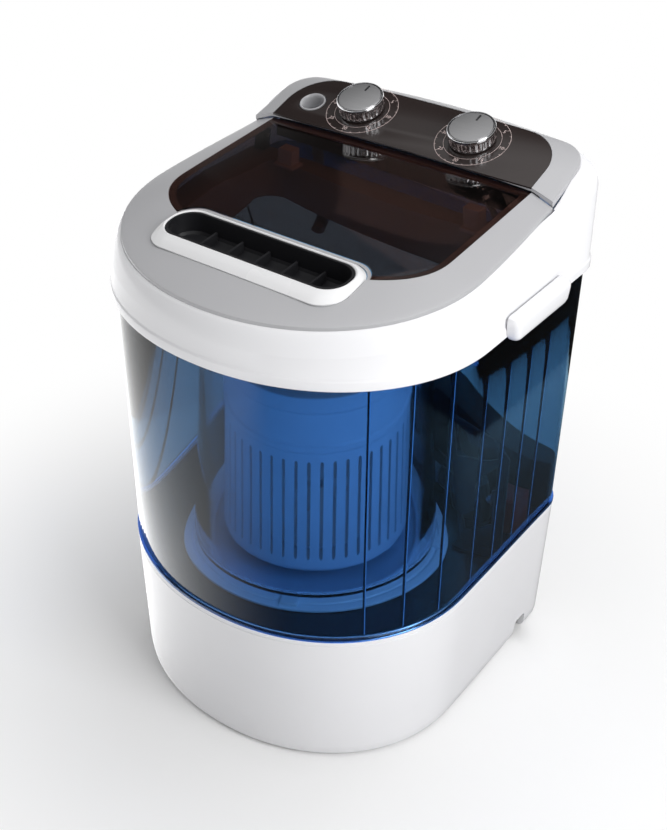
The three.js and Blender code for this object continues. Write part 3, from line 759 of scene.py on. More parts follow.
    def _smudged(self) -> NodeTree:
        """Handling marks: soft smears and a few fine specks, added to a roughness.

        Returns:
            The node group, with its named inputs and outputs.
        """
        tree = self._group("handling_marks", {
            "Gloss": ("NodeSocketFloat", 0.05),
            "Smear": ("NodeSocketFloat", 0.06),
        }, {"Roughness": "NodeSocketFloat", "Mask": "NodeSocketFloat"})
        inward, outward = tree.nodes["in"], tree.nodes["out"]
        place = tree.nodes.new("ShaderNodeTexCoord").outputs["Object"]
        cloud = self._noise(tree, place, 22.0, 5.0)
        mask = tree.nodes.new("ShaderNodeMapRange")
        tree.links.new(cloud.outputs["Fac"], mask.inputs["Value"])
        socket_value(mask, "From Min", 0.46)
        socket_value(mask, "From Max", 0.74)
        added = tree.nodes.new("ShaderNodeMath")
        added.operation = "MULTIPLY_ADD"
        tree.links.new(mask.outputs["Result"], added.inputs[0])
        tree.links.new(inward.outputs["Smear"], added.inputs[1])
        tree.links.new(inward.outputs["Gloss"], added.inputs[2])
        tree.links.new(added.outputs[0], outward.inputs["Roughness"])
        tree.links.new(mask.outputs["Result"], outward.inputs["Mask"])
        return tree

    def _worn(self) -> NodeTree:
        """Edge wear: a mask that is high on ridges, broken up by noise.

        Returns:
            The node group, with its named inputs and outputs.
        """
        tree = self._group("edge_wear", {"Amount": ("NodeSocketFloat", 0.5)}, {"Mask": "NodeSocketFloat"})
        inward, outward = tree.nodes["in"], tree.nodes["out"]
        ridge = tree.nodes.new("ShaderNodeMapRange")
        tree.links.new(tree.nodes.new("ShaderNodeNewGeometry").outputs["Pointiness"], ridge.inputs["Value"])
        socket_value(ridge, "From Min", 0.52)
        socket_value(ridge, "From Max", 0.6)
        breakup = self._noise(tree, tree.nodes.new("ShaderNodeTexCoord").outputs["Object"], 160.0, 4.0)
        product = tree.nodes.new("ShaderNodeMath")
        product.operation = "MULTIPLY"
        tree.links.new(ridge.outputs["Result"], product.inputs[0])
        tree.links.new(breakup.outputs["Fac"], product.inputs[1])
        amount = tree.nodes.new("ShaderNodeMath")
        amount.operation = "MULTIPLY"
        tree.links.new(product.outputs[0], amount.inputs[0])
        tree.links.new(inward.outputs["Amount"], amount.inputs[1])
        tree.links.new(amount.outputs[0], outward.inputs["Mask"])
        return tree


# ---------------------------------------------------------------- finishes


@dataclass(frozen=True)
class Finish:
    """What every finish has: a name, a colour and the record's slot that it belongs to."""

    name: str
    tint: Colour
    slot: str

    def make(self, effects: Effects) -> Material:
        """Make the material, or return it if it is there already.

        Args:
            effects: The shared shader groups.

        Returns:
            The material.
        """
        found = bpy.data.materials.get(self.name)
        if found:
            return found
        material = bpy.data.materials.new(self.name)
        material.use_nodes = True
        tree = material.node_tree
        shader = tree.nodes["Principled BSDF"]
        socket_value(shader, "Base Color", (*self.tint, 1.0))
        self.dress(tree, shader, effects)
        return material

    def dress(self, tree: NodeTree, shader: Node, effects: Effects) -> None:
        """Set the shader up; each kind of finish has its own."""
        raise NotImplementedError

    @staticmethod
    def use(tree: NodeTree, group: NodeTree, values: dict[str, object]) -> Node:
        """Place a shader group in a material with its own values.

        Args:
            tree: The material's node tree.
            group: The shader group to place.
            values: The group's inputs by name.

        Returns:
            The placed group's node.
        """
        node = tree.nodes.new("ShaderNodeGroup")
        node.node_tree = group
        for label, value in values.items():
            socket_value(node, label, value)
        return node


@dataclass(frozen=True)
class Moulding(Finish):
    """Opaque moulded plastic or rubber."""

    gloss: float = 0.22
    gloss_drift: float = 0.08
    drift: float = 0.04
    grain_size: float = 900.0
    grain_depth: float = 0.00001
    coat: float = 0.0
    specular: float = 0.5

    def dress(self, tree: NodeTree, shader: Node, effects: Effects) -> None:
        """Feed colour, gloss and grain from the moulded plastic group.

        Args:
            tree: The material's node tree.
            shader: Its Principled BSDF.
            effects: The shared shader groups.
        """
        group = self.use(tree, effects.moulded, {
            "Tint": (*self.tint, 1.0), "Drift": self.drift, "Gloss": self.gloss,
            "Gloss Drift": self.gloss_drift, "Grain Size": self.grain_size,
            "Grain Depth": self.grain_depth})
        tree.links.new(group.outputs["Color"], shader.inputs["Base Color"])
        tree.links.new(group.outputs["Roughness"], shader.inputs["Roughness"])
        tree.links.new(group.outputs["Normal"], shader.inputs["Normal"])
        socket_value(shader, "Coat Weight", self.coat)
        socket_value(shader, "Coat Roughness", 0.06)
        socket_value(shader, "Specular IOR Level", self.specular)


@dataclass(frozen=True)
class SeeThrough(Finish):
    """Clear or tinted plastic that shows what is behind it."""

    gloss: float = 0.03
    smear: float = 0.04
    ior: float = 1.3
    shade: Colour = (0.7, 0.8, 1.0)

    def dress(self, tree: NodeTree, shader: Node, effects: Effects) -> None:
        """Let light through, and let lamps reach what stands inside.

        Args:
            tree: The material's node tree.
            shader: Its Principled BSDF.
            effects: The shared shader groups.
        """
        marks = self.use(tree, effects.smudged, {"Gloss": self.gloss, "Smear": self.smear})
        tree.links.new(marks.outputs["Roughness"], shader.inputs["Roughness"])
        socket_value(shader, "Transmission Weight", 1.0)
        socket_value(shader, "IOR", self.ior)
        path = tree.nodes.new("ShaderNodeLightPath")
        either = tree.nodes.new("ShaderNodeMath")
        either.operation = "MAXIMUM"
        tree.links.new(path.outputs["Is Shadow Ray"], either.inputs[0])
        tree.links.new(path.outputs["Is Diffuse Ray"], either.inputs[1])
        clear = tree.nodes.new("ShaderNodeBsdfTransparent")
        socket_value(clear, "Color", (*self.shade, 1.0))
        mix = tree.nodes.new("ShaderNodeMixShader")
        tree.links.new(either.outputs[0], mix.inputs["Fac"])
        tree.links.new(shader.outputs["BSDF"], mix.inputs[1])
        tree.links.new(clear.outputs["BSDF"], mix.inputs[2])
        tree.links.new(mix.outputs["Shader"], tree.nodes["Material Output"].inputs["Surface"])


@dataclass(frozen=True)
class Plating(Finish):
    """Bright plating with light handling marks and worn ridges."""

    gloss: float = 0.1
    smear: float = 0.12
    wear: float = 0.4

    def dress(self, tree: NodeTree, shader: Node, effects: Effects) -> None:
        """Make it metal, with smears in its gloss and wear on its ridges.

        Args:
            tree: The material's node tree.
            shader: Its Principled BSDF.
            effects: The shared shader groups.
        """
        marks = self.use(tree, effects.smudged, {"Gloss": self.gloss, "Smear": self.smear})
        wear = self.use(tree, effects.worn, {"Amount": self.wear})
        sum_of = tree.nodes.new("ShaderNodeMath")
        sum_of.operation = "ADD"
        tree.links.new(marks.outputs["Roughness"], sum_of.inputs[0])
        tree.links.new(wear.outputs["Mask"], sum_of.inputs[1])
        tree.links.new(sum_of.outputs[0], shader.inputs["Roughness"])
        socket_value(shader, "Metallic", 1.0)


@dataclass(frozen=True)
class BrushedMetal(Finish):
    """Metal with fine straight tool lines."""

    gloss: float = 0.32
    gloss_drift: float = 0.25
    line_depth: float = 0.000015

    def dress(self, tree: NodeTree, shader: Node, effects: Effects) -> None:
        """Feed roughness and normal from the brushed group, and shade the lines a little.

        Args:
            tree: The material's node tree.
            shader: Its Principled BSDF.
            effects: The shared shader groups.
        """
        lines = self.use(tree, effects.brushed, {
            "Gloss": self.gloss, "Gloss Drift": self.gloss_drift, "Line Depth": self.line_depth})
        tree.links.new(lines.outputs["Roughness"], shader.inputs["Roughness"])
        tree.links.new(lines.outputs["Normal"], shader.inputs["Normal"])
        blend = tree.nodes.new("ShaderNodeMix")
        blend.data_type = "RGBA"
        tree.links.new(lines.outputs["Lines"], blend.inputs[0])
        blend.inputs[6].default_value = (*(c * 0.85 for c in self.tint), 1.0)
        blend.inputs[7].default_value = (*(min(c * 1.12, 1.0) for c in self.tint), 1.0)
        tree.links.new(blend.outputs[2], shader.inputs["Base Color"])
        socket_value(shader, "Metallic", 1.0)


WHITE = Moulding("white_gloss", (0.81, 0.81, 0.83), "white_plastic", gloss=0.24, drift=0.03, coat=0.1,
                 specular=0.35)
SILVER = Moulding("silver_satin", (0.43, 0.43, 0.445), "silver_plastic", gloss=0.36, drift=0.05,
                  grain_size=2200.0, grain_depth=0.00001, coat=0.1)
BLACK = Moulding("black_moulding", (0.012, 0.012, 0.014), "black_plastic", gloss=0.34, grain_depth=0.00003)
WELL_FLOOR = Moulding("well_grey", (0.24, 0.215, 0.21), "black_plastic", gloss=0.3)
INNER_GREY = Moulding("inner_grey", (0.5, 0.42, 0.4), "black_plastic", gloss=0.4)
DECK = Moulding("deck_dark", (0.012, 0.015, 0.02), "dark_deck", gloss=0.2, drift=0.1)
BASKET = Moulding("basket_pale", (0.74, 0.8, 0.86), "basket_plastic", gloss=0.3, drift=0.03)
RED = Moulding("actuator_red", (0.22, 0.012, 0.008), "red_plastic", gloss=0.3)
RUBBER = Moulding("soft_rubber", (0.028, 0.028, 0.03), "rubber", gloss=0.72, grain_size=1600.0,
                  grain_depth=0.00005, specular=0.3)
HOSE = Moulding("hose_grey", (0.16, 0.17, 0.18), "hose", gloss=0.5, grain_depth=0.00004)
PRINT = Moulding("dial_print", (0.62, 0.5, 0.48), "white_plastic", gloss=0.5)
CAST = BrushedMetal("cast_alloy", (0.4, 0.41, 0.43), "cast_housing", gloss=0.45)
STEEL = BrushedMetal("turned_steel", (0.56, 0.57, 0.58), "steel", gloss=0.28)
KNOB_TOP = BrushedMetal("knob_top", (0.5, 0.5, 0.51), "chrome", gloss=0.4, gloss_drift=0.2)
CHROME = Plating("bright_plating", (0.8, 0.8, 0.82), "chrome", gloss=0.13, smear=0.1)
BEZEL = Moulding("handle_silver", (0.8, 0.8, 0.81), "chrome", gloss=0.26, drift=0.03, grain_size=2000.0,
                 coat=0.5)
BLUE = SeeThrough("wall_blue", (0.16, 0.31, 0.46), "blue_clear", gloss=0.02, smear=0.03, ior=1.25,
                  shade=(0.62, 0.78, 1.0))
# The ribs are painted: a near-black strip of painted shade and a pale blue strip of painted highlight beside
# it.
RIB_SHADE = Moulding("rib_shadow", (0.004, 0.007, 0.016), "blue_clear", gloss=0.25)
RIB_HIGHLIGHT = Moulding("rib_painted_highlight", (0.35, 0.6, 0.9), "blue_clear", gloss=0.2)
LIP_BLUE = SeeThrough("lip_blue", (0.16, 0.4, 0.85), "blue_clear", gloss=0.12, ior=1.3)
CLEAR = SeeThrough("tub_clear", (0.86, 0.92, 0.97), "tub_plastic", gloss=0.06, ior=1.18,
                   shade=(0.9, 0.94, 1.0))
SMOKED = SeeThrough("smoked_brown", (0.15, 0.088, 0.074), "smoked_glass", gloss=0.02, smear=0.02, ior=1.3,
                    shade=(0.6, 0.52, 0.5))
PANEL_GLASS = Moulding("panel_smoked", (0.024, 0.017, 0.016), "smoked_glass", gloss=0.17, drift=0.1)

BY_SLOT: dict[str, Finish] = {
    "white_plastic": WHITE, "black_plastic": BLACK, "rubber": RUBBER, "dark_deck": DECK,
    "blue_clear": BLUE, "tub_plastic": CLEAR, "basket_plastic": BASKET, "steel": STEEL,
    "cast_housing": CAST, "red_plastic": RED, "hose": HOSE, "silver_plastic": SILVER,
    "smoked_glass": SMOKED, "chrome": CHROME,
}


# ---------------------------------------------------------------- what every sub-assembly shares


@dataclass
class Assembly:
    """A group of pieces that are made and finished together."""

    effects: Effects

    def fit(self, piece: Object, finish: Finish, body: str = "root", nodes: tuple[str, ...] = ()) -> Object:
        """Dress a piece, put it on its body and hide the frame nodes that it stands for.

        Args:
            piece: The piece, in place.
            finish: Its finish.
            body: The body that it moves with.
            nodes: The frame nodes that it stands for.

        Returns:
            The same piece.
        """
        piece.data.materials.clear()
        piece.data.materials.append(finish.make(self.effects))
        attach(piece, body)
        if nodes:
            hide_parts(*nodes)
        log.info("%s on %s: %d faces", piece.name, body, len(piece.data.polygons))
        return piece

    def build(self) -> None:
        """Make the pieces; each sub-assembly has its own."""
        raise NotImplementedError


@dataclass
class CarriedParts(Assembly):
    """The frame's own nodes, which keep their shape and take the finish of their slot."""

    def build(self) -> None:
        """Give every frame node its finish."""
        for row in frame["record"]["subparts"]:
            node = frame["nodes"][row["node"]]
            node.data.materials.clear()
            node.data.materials.append(BY_SLOT[row["material_slot"]].make(self.effects))


# ---------------------------------------------------------------- base


@dataclass
class Base(Assembly):
    """The white base housing, its rubber feet, the deck over it, and the outlets in its rear wall."""

    floor_gap: float = 1.2
    outlet: Point = (0.0, 104.0)
    gland: Point = (96.0, 60.0)
    notch_y: Point = (100.0, 122.0)
    notch_top: float = 22.0
    seam_z: float = 149.2
    feet: tuple[tuple[str, float, float], ...] = (
        ("front_left", -112.0, -96.0), ("front_right", 112.0, -96.0),
        ("rear_left", -128.0, 142.0), ("rear_right", 128.0, 142.0))

    def build(self) -> None:
        """Make the base."""
        self.housing()
        self.deck()
        for spot, x, y in self.feet:
            self.foot(spot, x, y)
        self.outlets()

    def housing(self) -> None:
        """Make the white wall, with its hand notches and the two holes behind."""
        low = self.floor_gap
        section = rounded([(6.0, low), (3.2, low + 3.4), (2.4, low + 12), (0.6, BASE_TOP - 3.2),
                           (0.9, BASE_TOP), (4.4, BASE_TOP), (7.0, low + 15), (9.5, low)], 1.4)
        groove = [(0.62, self.seam_z - 0.6), (1.3, self.seam_z), (0.6, self.seam_z + 0.6)]
        turn = next(i for i, (_, z) in enumerate(section) if z > self.seam_z)
        section = [*section[:turn], *groove, *section[turn:]]
        wall = skin("base_wall", rings_of([Level(i, z) for i, z in section], BODY, BODY), closed=True)
        y0, y1 = self.notch_y
        top = self.notch_top
        arch = rounded([(y0, -5.0), (y1, -5.0), (y1, top), (y0, top)], 7.0, 8)
        notch = skin("cutter", [[Vector((x, y, z)) for y, z in arch] for x in (-200.0, 200.0)])
        back = Matrix.Rotation(math.radians(-90), 4, "X")
        holes = [rod(r, (0.0, 60.0), Matrix.Translation(Vector((x, 140.0, z)) * MM) @ back)
                 for r, (x, z) in ((10.4, self.outlet), (7.4, self.gland))]
        carve(wall, notch, *holes)
        self.fit(wall, WHITE, nodes=("base_housing",))

    def deck(self) -> None:
        """Make the dark deck that closes the base, with its holes for the hub, hose and loom."""
        section = rounded([(5.2, DECK_TOP - 2.5), (5.2, DECK_TOP)], 0.0, closed=False)
        plate = skin("deck", rings_of([Level(i, z) for i, z in section], BODY, BODY))
        hub = rod(31.0, (140.0, 160.0), Matrix.Translation((0.0, TUB_CENTRE[1] * MM, 0.0)), 96)
        hose = rod(14.0, (140.0, 160.0), Matrix.Translation((2 * MM, 124 * MM, 0.0)))
        loom = rod(6.0, (140.0, 160.0), Matrix.Translation((86 * MM, 128 * MM, 0.0)))
        carve(plate, hub, hose, loom)
        self.fit(plate, DECK, nodes=("deck_plate",))

    def foot(self, spot: str, x: float, y: float) -> None:
        """Make one rubber foot with ribs round it and a dished sole."""
        corners = [(0.0, 1.2), (8.0, 1.2), (9.0, 0.0), (12.2, 0.0), (13.4, 1.8), (13.0, 2.4), (13.8, 3.2),
                   (13.5, 3.9), (14.4, 5.5), (4.0, 5.6), (4.0, 11.0), (0.0, 11.0)]
        profile = rounded(corners, 0.35, 3, closed=False)
        self.fit(turned("foot_" + spot + "_rubber", profile, 48, (x, y)), RUBBER, nodes=("foot_" + spot,))

    def outlets(self) -> None:
        """Make the drain outlet with its barbs, and the cord gland."""
        barbs = [(7.0, 160.0), (9.3, 160.0), (9.3, 167.6), (13.0, 168.0), (13.0, 171.0), (9.3, 171.4),
                 (9.3, 174.0), (8.7, 175.0), (9.5, 177.0), (8.7, 178.0), (9.5, 180.0), (8.7, 181.0),
                 (9.3, 183.0), (7.4, 183.6), (7.0, 183.0)]
        spout = turned("drain_spout", rounded(barbs, 0.4, 2), 64)
        self._laid(spout, *self.outlet)
        self.fit(spout, BLACK, nodes=("drain_outlet",))
        ribs = [(3.6, 164.2), (11.0, 164.0), (11.0, 169.0), (6.8, 169.4), (6.8, 173.0), (5.9, 173.6),
                (6.8, 175.0), (5.9, 176.6), (6.7, 178.0), (5.8, 179.6), (6.5, 181.0), (5.6, 183.4),
                (3.6, 183.6)]
        gland = turned("cord_gland_rubber", rounded(ribs, 0.3, 2), 48)
        self._laid(gland, *self.gland)
        self.fit(gland, RUBBER, nodes=("cord_gland",))

    @staticmethod
    def _laid(piece: Object, x: float, z: float) -> None:
        """Lay a turned piece along the depth, at a place on the rear wall."""
        place = Matrix.Translation(Vector((x, 0.0, z)) * MM)
        piece.data.transform(place @ Matrix.Rotation(-math.pi / 2, 4, "X"))


# ---------------------------------------------------------------- see-through cabinet


@dataclass
class Cabinet(Assembly):
    """The blue see-through wall, its upright ribs drawn as strips of painted shade and painted highlight, and
    the bright lip that it stands on.
    """

    rib_spots: tuple[float, ...] = (-127.0, -98.0, -62.0, -14.0, 25.0, 63.0, 97.0)
    rib_foot: float = 160.0
    rib_top: float = 419.0
    rib_width: float = 1.5
    rib_depth: float = 1.6
    edge_width: float = 0.8
    edge_depth: float = 0.8

    def build(self) -> None:
        """Make the wall, the lip's bright edge and both rows of ribs: dark strips of painted shade with pale
        strips of painted highlight beside them.
        """
        section = rounded([(1.9, BASE_TOP + 5.6), (3.8, SHELL_TOP), (6.4, SHELL_TOP),
                           (4.5, BASE_TOP + 5.6)], 0.4, 2)
        wall = skin("cabinet_wall", rings_of([Level(i, z) for i, z in section], BODY, BODY), closed=True)
        self.fit(wall, BLUE, nodes=("cabinet_shell",))
        lip = rounded([(0.1, BASE_TOP + 0.4), (0.1, BASE_TOP + 4.2), (1.7, BASE_TOP + 5.4),
                       (4.4, BASE_TOP + 5.4), (4.2, BASE_TOP + 0.4)], 0.7, 3)
        edge = skin("cabinet_lip", rings_of([Level(i, z) for i, z in lip], BODY, BODY), closed=True)
        self.fit(edge, LIP_BLUE)
        # near-black strips of painted shade along each rib
        darks = [self.strip(y, side, 0.0, self.rib_width, self.rib_depth)
                 for side in (-1, 1) for y in self.rib_spots]
        self.fit(merged("cabinet_rib_shadows", darks), RIB_SHADE)
        # pale blue strips of painted highlight beside the painted shade
        lights = [self.strip(y, side, self.rib_width * 0.98, self.edge_width, self.edge_depth)
                  for side in (-1, 1) for y in self.rib_spots]
        self.fit(merged("cabinet_rib_highlights", lights), RIB_HIGHLIGHT)

    def strip(self, y: float, side: int, offset: float, width: float, depth: float) -> Object:
        """Make one upright strip on the wall's inner face; the ribs' painted shade and painted highlight are
        both made of these.

        Args:
            y: The depth at which it stands.
            side: 1 for the right wall, -1 for the left.
            offset: How far round the wall from the rib's own place.
            width: Its width along the wall.
            depth: How far it stands off the wall.

        Returns:
            The strip.
        """
        rings = []
        for z in (self.rib_foot, self.rib_top):
            share = (z - BASE_TOP) / (SHELL_TOP - BASE_TOP)
            at, out = BODY.station(y, side, 4.5 + 1.9 * share + 0.08)
            along = Vector((-out.y, out.x, 0.0)) * side
            near = at + along * offset
            corners = [near, near + along * width, near + along * width - out * depth, near - out * depth]
            rings.append([c + Vector((0.0, 0.0, z)) for c in corners])
        return skin("strip", rings)


# ---------------------------------------------------------------- white top frame


@dataclass
class TopFrame(Assembly):
    """The white frame that carries the lid and panel, and its two carry handles."""

    shoulder: tuple[tuple[float, float, float], ...] = (
        (1.5, -19.0, 0.0), (4.5, -10.0, 0.0), (4.5, -3.5, 0.55), (4.5, -1.0, 0.97))
    handle_y: Point = (-4.0, 89.0)
    handle_inner: float = 172.0
    handle_rings: tuple[tuple[float, float, float, float], ...] = (
        (417.2, 8.0, 9.0, 184.8), (418.2, 6.4, 7.6, 187.0), (421.0, 4.0, 4.6, 189.0),
        (424.0, 2.0, 2.6, 189.8), (434.0, 0.4, 0.6, 190.0), (437.0, 0.4, 0.6, 189.7),
        (439.4, 1.0, 1.4, 188.6), (440.8, 3.0, 3.4, 186.4))

    def build(self) -> None:
        """Make the frame and both handles."""
        self.frame_ring()
        for side, label in ((-1, "left"), (1, "right")):
            self.handle(side, label)

    def frame_ring(self) -> None:
        """Make the frame: skirt, shoulder, rim, and the seat inside it."""
        low, lip = SKIRT_BOTTOM, SKIRT_BOTTOM + LIP_HEIGHT
        skirt = [Level(-0.9, low), Level(-1.5, low + 0.8), Level(-1.5, lip - 1.2), Level(-1.2, lip - 0.3),
                 Level(-0.6, lip + 0.3), Level(0.0, lip + 1.4)]
        over = smooth([Level(i, z, b, 0.0, rim) for i, z, b in self.shoulder], 6)
        edge = [Level(4.5, -1.1, 1.0, 0.35, rim), Level(4.5, -1.9, 1.0, 0.5, rim)]
        seat = [Level(4.5, -7.5, 1.0, 0.5, lid_edge), Level(4.5, -7.5, 1.0, 10.0, lid_edge),
                Level(4.5, -12.0, 1.0, 10.4, lid_edge)]
        inside = [Level(6.0, -17.5, 0.0, 0.0, rim), Level(3.3, low + 26), Level(3.3, low)]
        levels = [*skirt, *over, *edge, *seat, *inside]
        ring = skin("top_frame_ring", rings_of(levels, BODY, GROOVE), closed=True)
        room = hinge_barrel(1.2)
        carve(room, block((-160.6, 160.6), (60.0, 130.0), (440.0, 540.0)), mode=Carve.WITHIN)
        carve(ring, room)
        self.fit(ring, WHITE, nodes=("top_frame",))

    def handle(self, side: int, label: str) -> None:
        """Make one carry handle: a rounded ledge that stands off the skirt.

        Args:
            side: 1 for the right side, -1 for the left.
            label: The side's name.
        """
        y0, y1 = self.handle_y
        rings = []
        for z, near, far, out in self.handle_rings:
            corners = [(self.handle_inner, y0 + near), (out, y0 + near), (out, y1 - far),
                       (self.handle_inner, y1 - far)]
            rings.append([Vector((x * side, y, z)) for x, y in rounded(corners, 6.0, 6)])
        ledge = skin("carry_handle_" + label + "_ledge", rings)
        inside = skin("cutter", rings_of([Level(-1.9, 400.0), Level(-1.9, 460.0)], BODY, BODY))
        carve(ledge, inside)
        self.fit(ledge, WHITE, nodes=("carry_handle_" + label,))


# ---------------------------------------------------------------- tub and basket


@dataclass
class Drum(Assembly):
    """The clear tub, its foot ring, the slotted basket and the pulsator."""

    slots: int = 50
    slot_width: float = 3.2
    slot_foot: float = 186.0
    slot_head: float = 288.0
    radius: float = 93.0
    wall: float = 2.2
    foot: float = 171.0
    top: float = 352.0
    fins: int = 6

    def build(self) -> None:
        """Make the drum's pieces."""
        self.tub()
        self.foot_ring()
        self.basket()
        self.pulsator()

    def tub(self) -> None:
        """Make the clear tub, round below and shaped like the machine's mouth above."""
        def ringed(radius: float) -> list[Point]:
            """Return a circle whose points lie in the mouth outline's directions.

            Args:
                radius: The circle's radius.

            Returns:
                The circle's points.
            """
            cx, cy = TUB_CENTRE
            out = []
            for x, y in MOUTH.ring():
                turn = math.atan2(y - cy, x - cx)
                out.append((cx + radius * math.cos(turn), cy + radius * math.sin(turn)))
            return out

        def between(z: float, inner: bool) -> list[Point]:
            """Return the ring at a height, which changes from a circle to the mouth's outline.

            Args:
                z: The height.
                inner: Whether to follow the tub's inside.

            Returns:
                The ring's points.
            """
            share = min(max((z - 372) / 56, 0.0), 1.0)
            share = share * share * (3 - 2 * share)
            thick = 2.5 if inner else 0.0
            low = ringed(116 + 2 * min((z - 160) / 212, 1.0) - thick)
            high = MOUTH.ring(-3.0 if inner else -5.4)
            return [(a[0] + (b[0] - a[0]) * share, a[1] + (b[1] - a[1]) * share) for a, b in zip(low, high)]

        heights = [170.0, 372.0, 379.0, 386.0, 393.0, 400.0, 407.0, 414.0, 421.0, 428.0, 448.0]
        outer = [(ringed(112.0), 160.4), (ringed(114.6), 163.0), *((between(z, False), z) for z in heights)]
        inner = [*((between(z, True), z) for z in reversed(heights)), (ringed(111.0), 164.4),
                 (ringed(109.0), 162.9)]
        hub_hole = [(ringed(16.0), 162.9), (ringed(16.0), 160.4)]
        tub = stacked("tub_wall", [*outer, *inner, *hub_hole], closed=True)
        self.fit(tub, CLEAR, nodes=("wash_tub",))

    def foot_ring(self) -> None:
        """Make the pale ring that the tub stands in, with its groove, bead and four lugs."""
        z = DECK_TOP + 0.4
        profile = rounded([(34.0, z), (124.6, z), (124.6, z + 2.4), (117.4, z + 3.4), (116.6, z + 2.2),
                           (115.2, z + 2.2), (114.2, z + 3.6), (106.0, z + 4.6), (105.6, z + 6.6),
                           (102.4, z + 6.6), (102.0, z + 3.0), (34.0, z + 3.0)], 0.7, 3)
        ring = turned("tub_foot", profile, 160, TUB_CENTRE)
        lugs = []
        for turn in (25, 115, 205, 295):
            outline = rounded([(-9.0, -121.0), (9.0, -121.0), (7.0, -104.2), (-7.0, -104.2)], 3.0, 4)
            lug = stacked("lug", [(outline, z + 2.0), (outline, z + 5.4), (widened(outline, -0.9), z + 6.3)])
            lug.data.transform(Matrix.Translation(Vector((*TUB_CENTRE, 0.0)) * MM)
                               @ Matrix.Rotation(math.radians(turn), 4, "Z"))
            lugs.append(lug)
        carve(ring, *lugs, mode=Carve.JOIN)
        self.fit(ring, BASKET, nodes=("tub_flange",))

    def basket(self) -> None:
        """Make the basket as one thin sheet with its slots left open, then give it its thickness."""
        r, z0, z1 = self.radius, self.foot, self.top
        corners = [(17.0, z0), (r - 4, z0), (r, z0 + 5), (r, 296.0), (r + 1.6, 298.0), (r + 1.6, 303.0),
                   (r, 305.0), (r, z1 - 18), (r + 4, z1 - 14), (r + 4, z1), (r - 6, z1), (r - 6, z1 - 4)]
        profile = rounded(corners, 1.6, 4, closed=False)
        rows = sorted({self.slot_foot, self.slot_foot + 1.5, self.slot_head - 1.5, self.slot_head})
        join = next(i for i, (_, z) in enumerate(profile) if z > self.slot_foot)
        profile = [*profile[:join], *((r, z) for z in rows), *profile[join:]]
        pitch = 2 * math.pi / self.slots
        half = self.slot_width / 2 / r
        turns = [k * pitch + d for k in range(self.slots)
                 for d in (-half, half, half + (pitch - 2 * half) / 3, half + (pitch - 2 * half) * 2 / 3)]
        points, faces = [], []
        columns = len(turns)
        for radius, z in profile:
            pinch = 0.45 if z in (self.slot_foot, self.slot_head) and radius == r else 1.0
            for i, turn in enumerate(turns):
                middle = (i // 4) * pitch
                at = middle + (turn - middle) * pinch if i % 4 < 2 else turn
                points.append(Vector((TUB_CENTRE[0] + radius * math.cos(at),
                                      TUB_CENTRE[1] + radius * math.sin(at), z)))
        for row in range(len(profile) - 1):
            open_row = (profile[row][0] == r == profile[row + 1][0]
                        and self.slot_foot <= profile[row][1] and profile[row + 1][1] <= self.slot_head)
            for i in range(columns):
                if open_row and i % 4 == 0:
                    continue
                j = (i + 1) % columns
                faces.append((row * columns + i, row * columns + j, (row + 1) * columns + j,
                              (row + 1) * columns + i))
        sheet = new_object("basket", points, faces)
        modifier = sheet.modifiers.new("wall", "SOLIDIFY")
        modifier.thickness = self.wall * MM
        modifier.offset = -1.0
        modifier.use_even_offset = True
        bake_modifiers(sheet)
        shade(sheet.data)
        self.fit(sheet, BASKET, "spinner", ("spin_basket",))

    def pulsator(self) -> None:
        """Make the pulsator: a dished plate with six soft fins."""
        z = self.foot + self.wall + 1.0
        sectors, rows = 144, 24
        rings = [[Vector((0.0, 0.0, z)) + Vector((r * math.cos(t), r * math.sin(t), 0.0))
                  for t in (2 * math.pi * k / sectors for k in range(sectors))] for r in (6.4, 62.0, 63.6)]
        for i in range(rows + 1):
            f = 1 - i / rows
            r = 6.6 + 57.4 * f
            ring = []
            for k in range(sectors):
                turn = 2 * math.pi * k / sectors
                fin = math.exp(-((math.sin(self.fins * (turn + 0.25 * f) / 2) / 0.32) ** 2))
                swell = fin * 10 * math.sin(math.pi * min(max(f, 0.0), 1.0)) ** 0.7
                crown = 2.6 + 10.5 * math.exp(-((r / 17) ** 2)) + 2.4 * (1 - f)
                ring.append(Vector((r * math.cos(turn), r * math.sin(turn), z + crown + swell)))
            rings.append(ring)
        disc = skin("pulsator_plate", rings, closed=True, angle=50)
        disc.data.transform(Matrix.Translation(Vector((*TUB_CENTRE, 0.0)) * MM))
        self.fit(disc, BASKET, "spinner", ("pulsator",))


# ---------------------------------------------------------------- what shows through the wall and the window


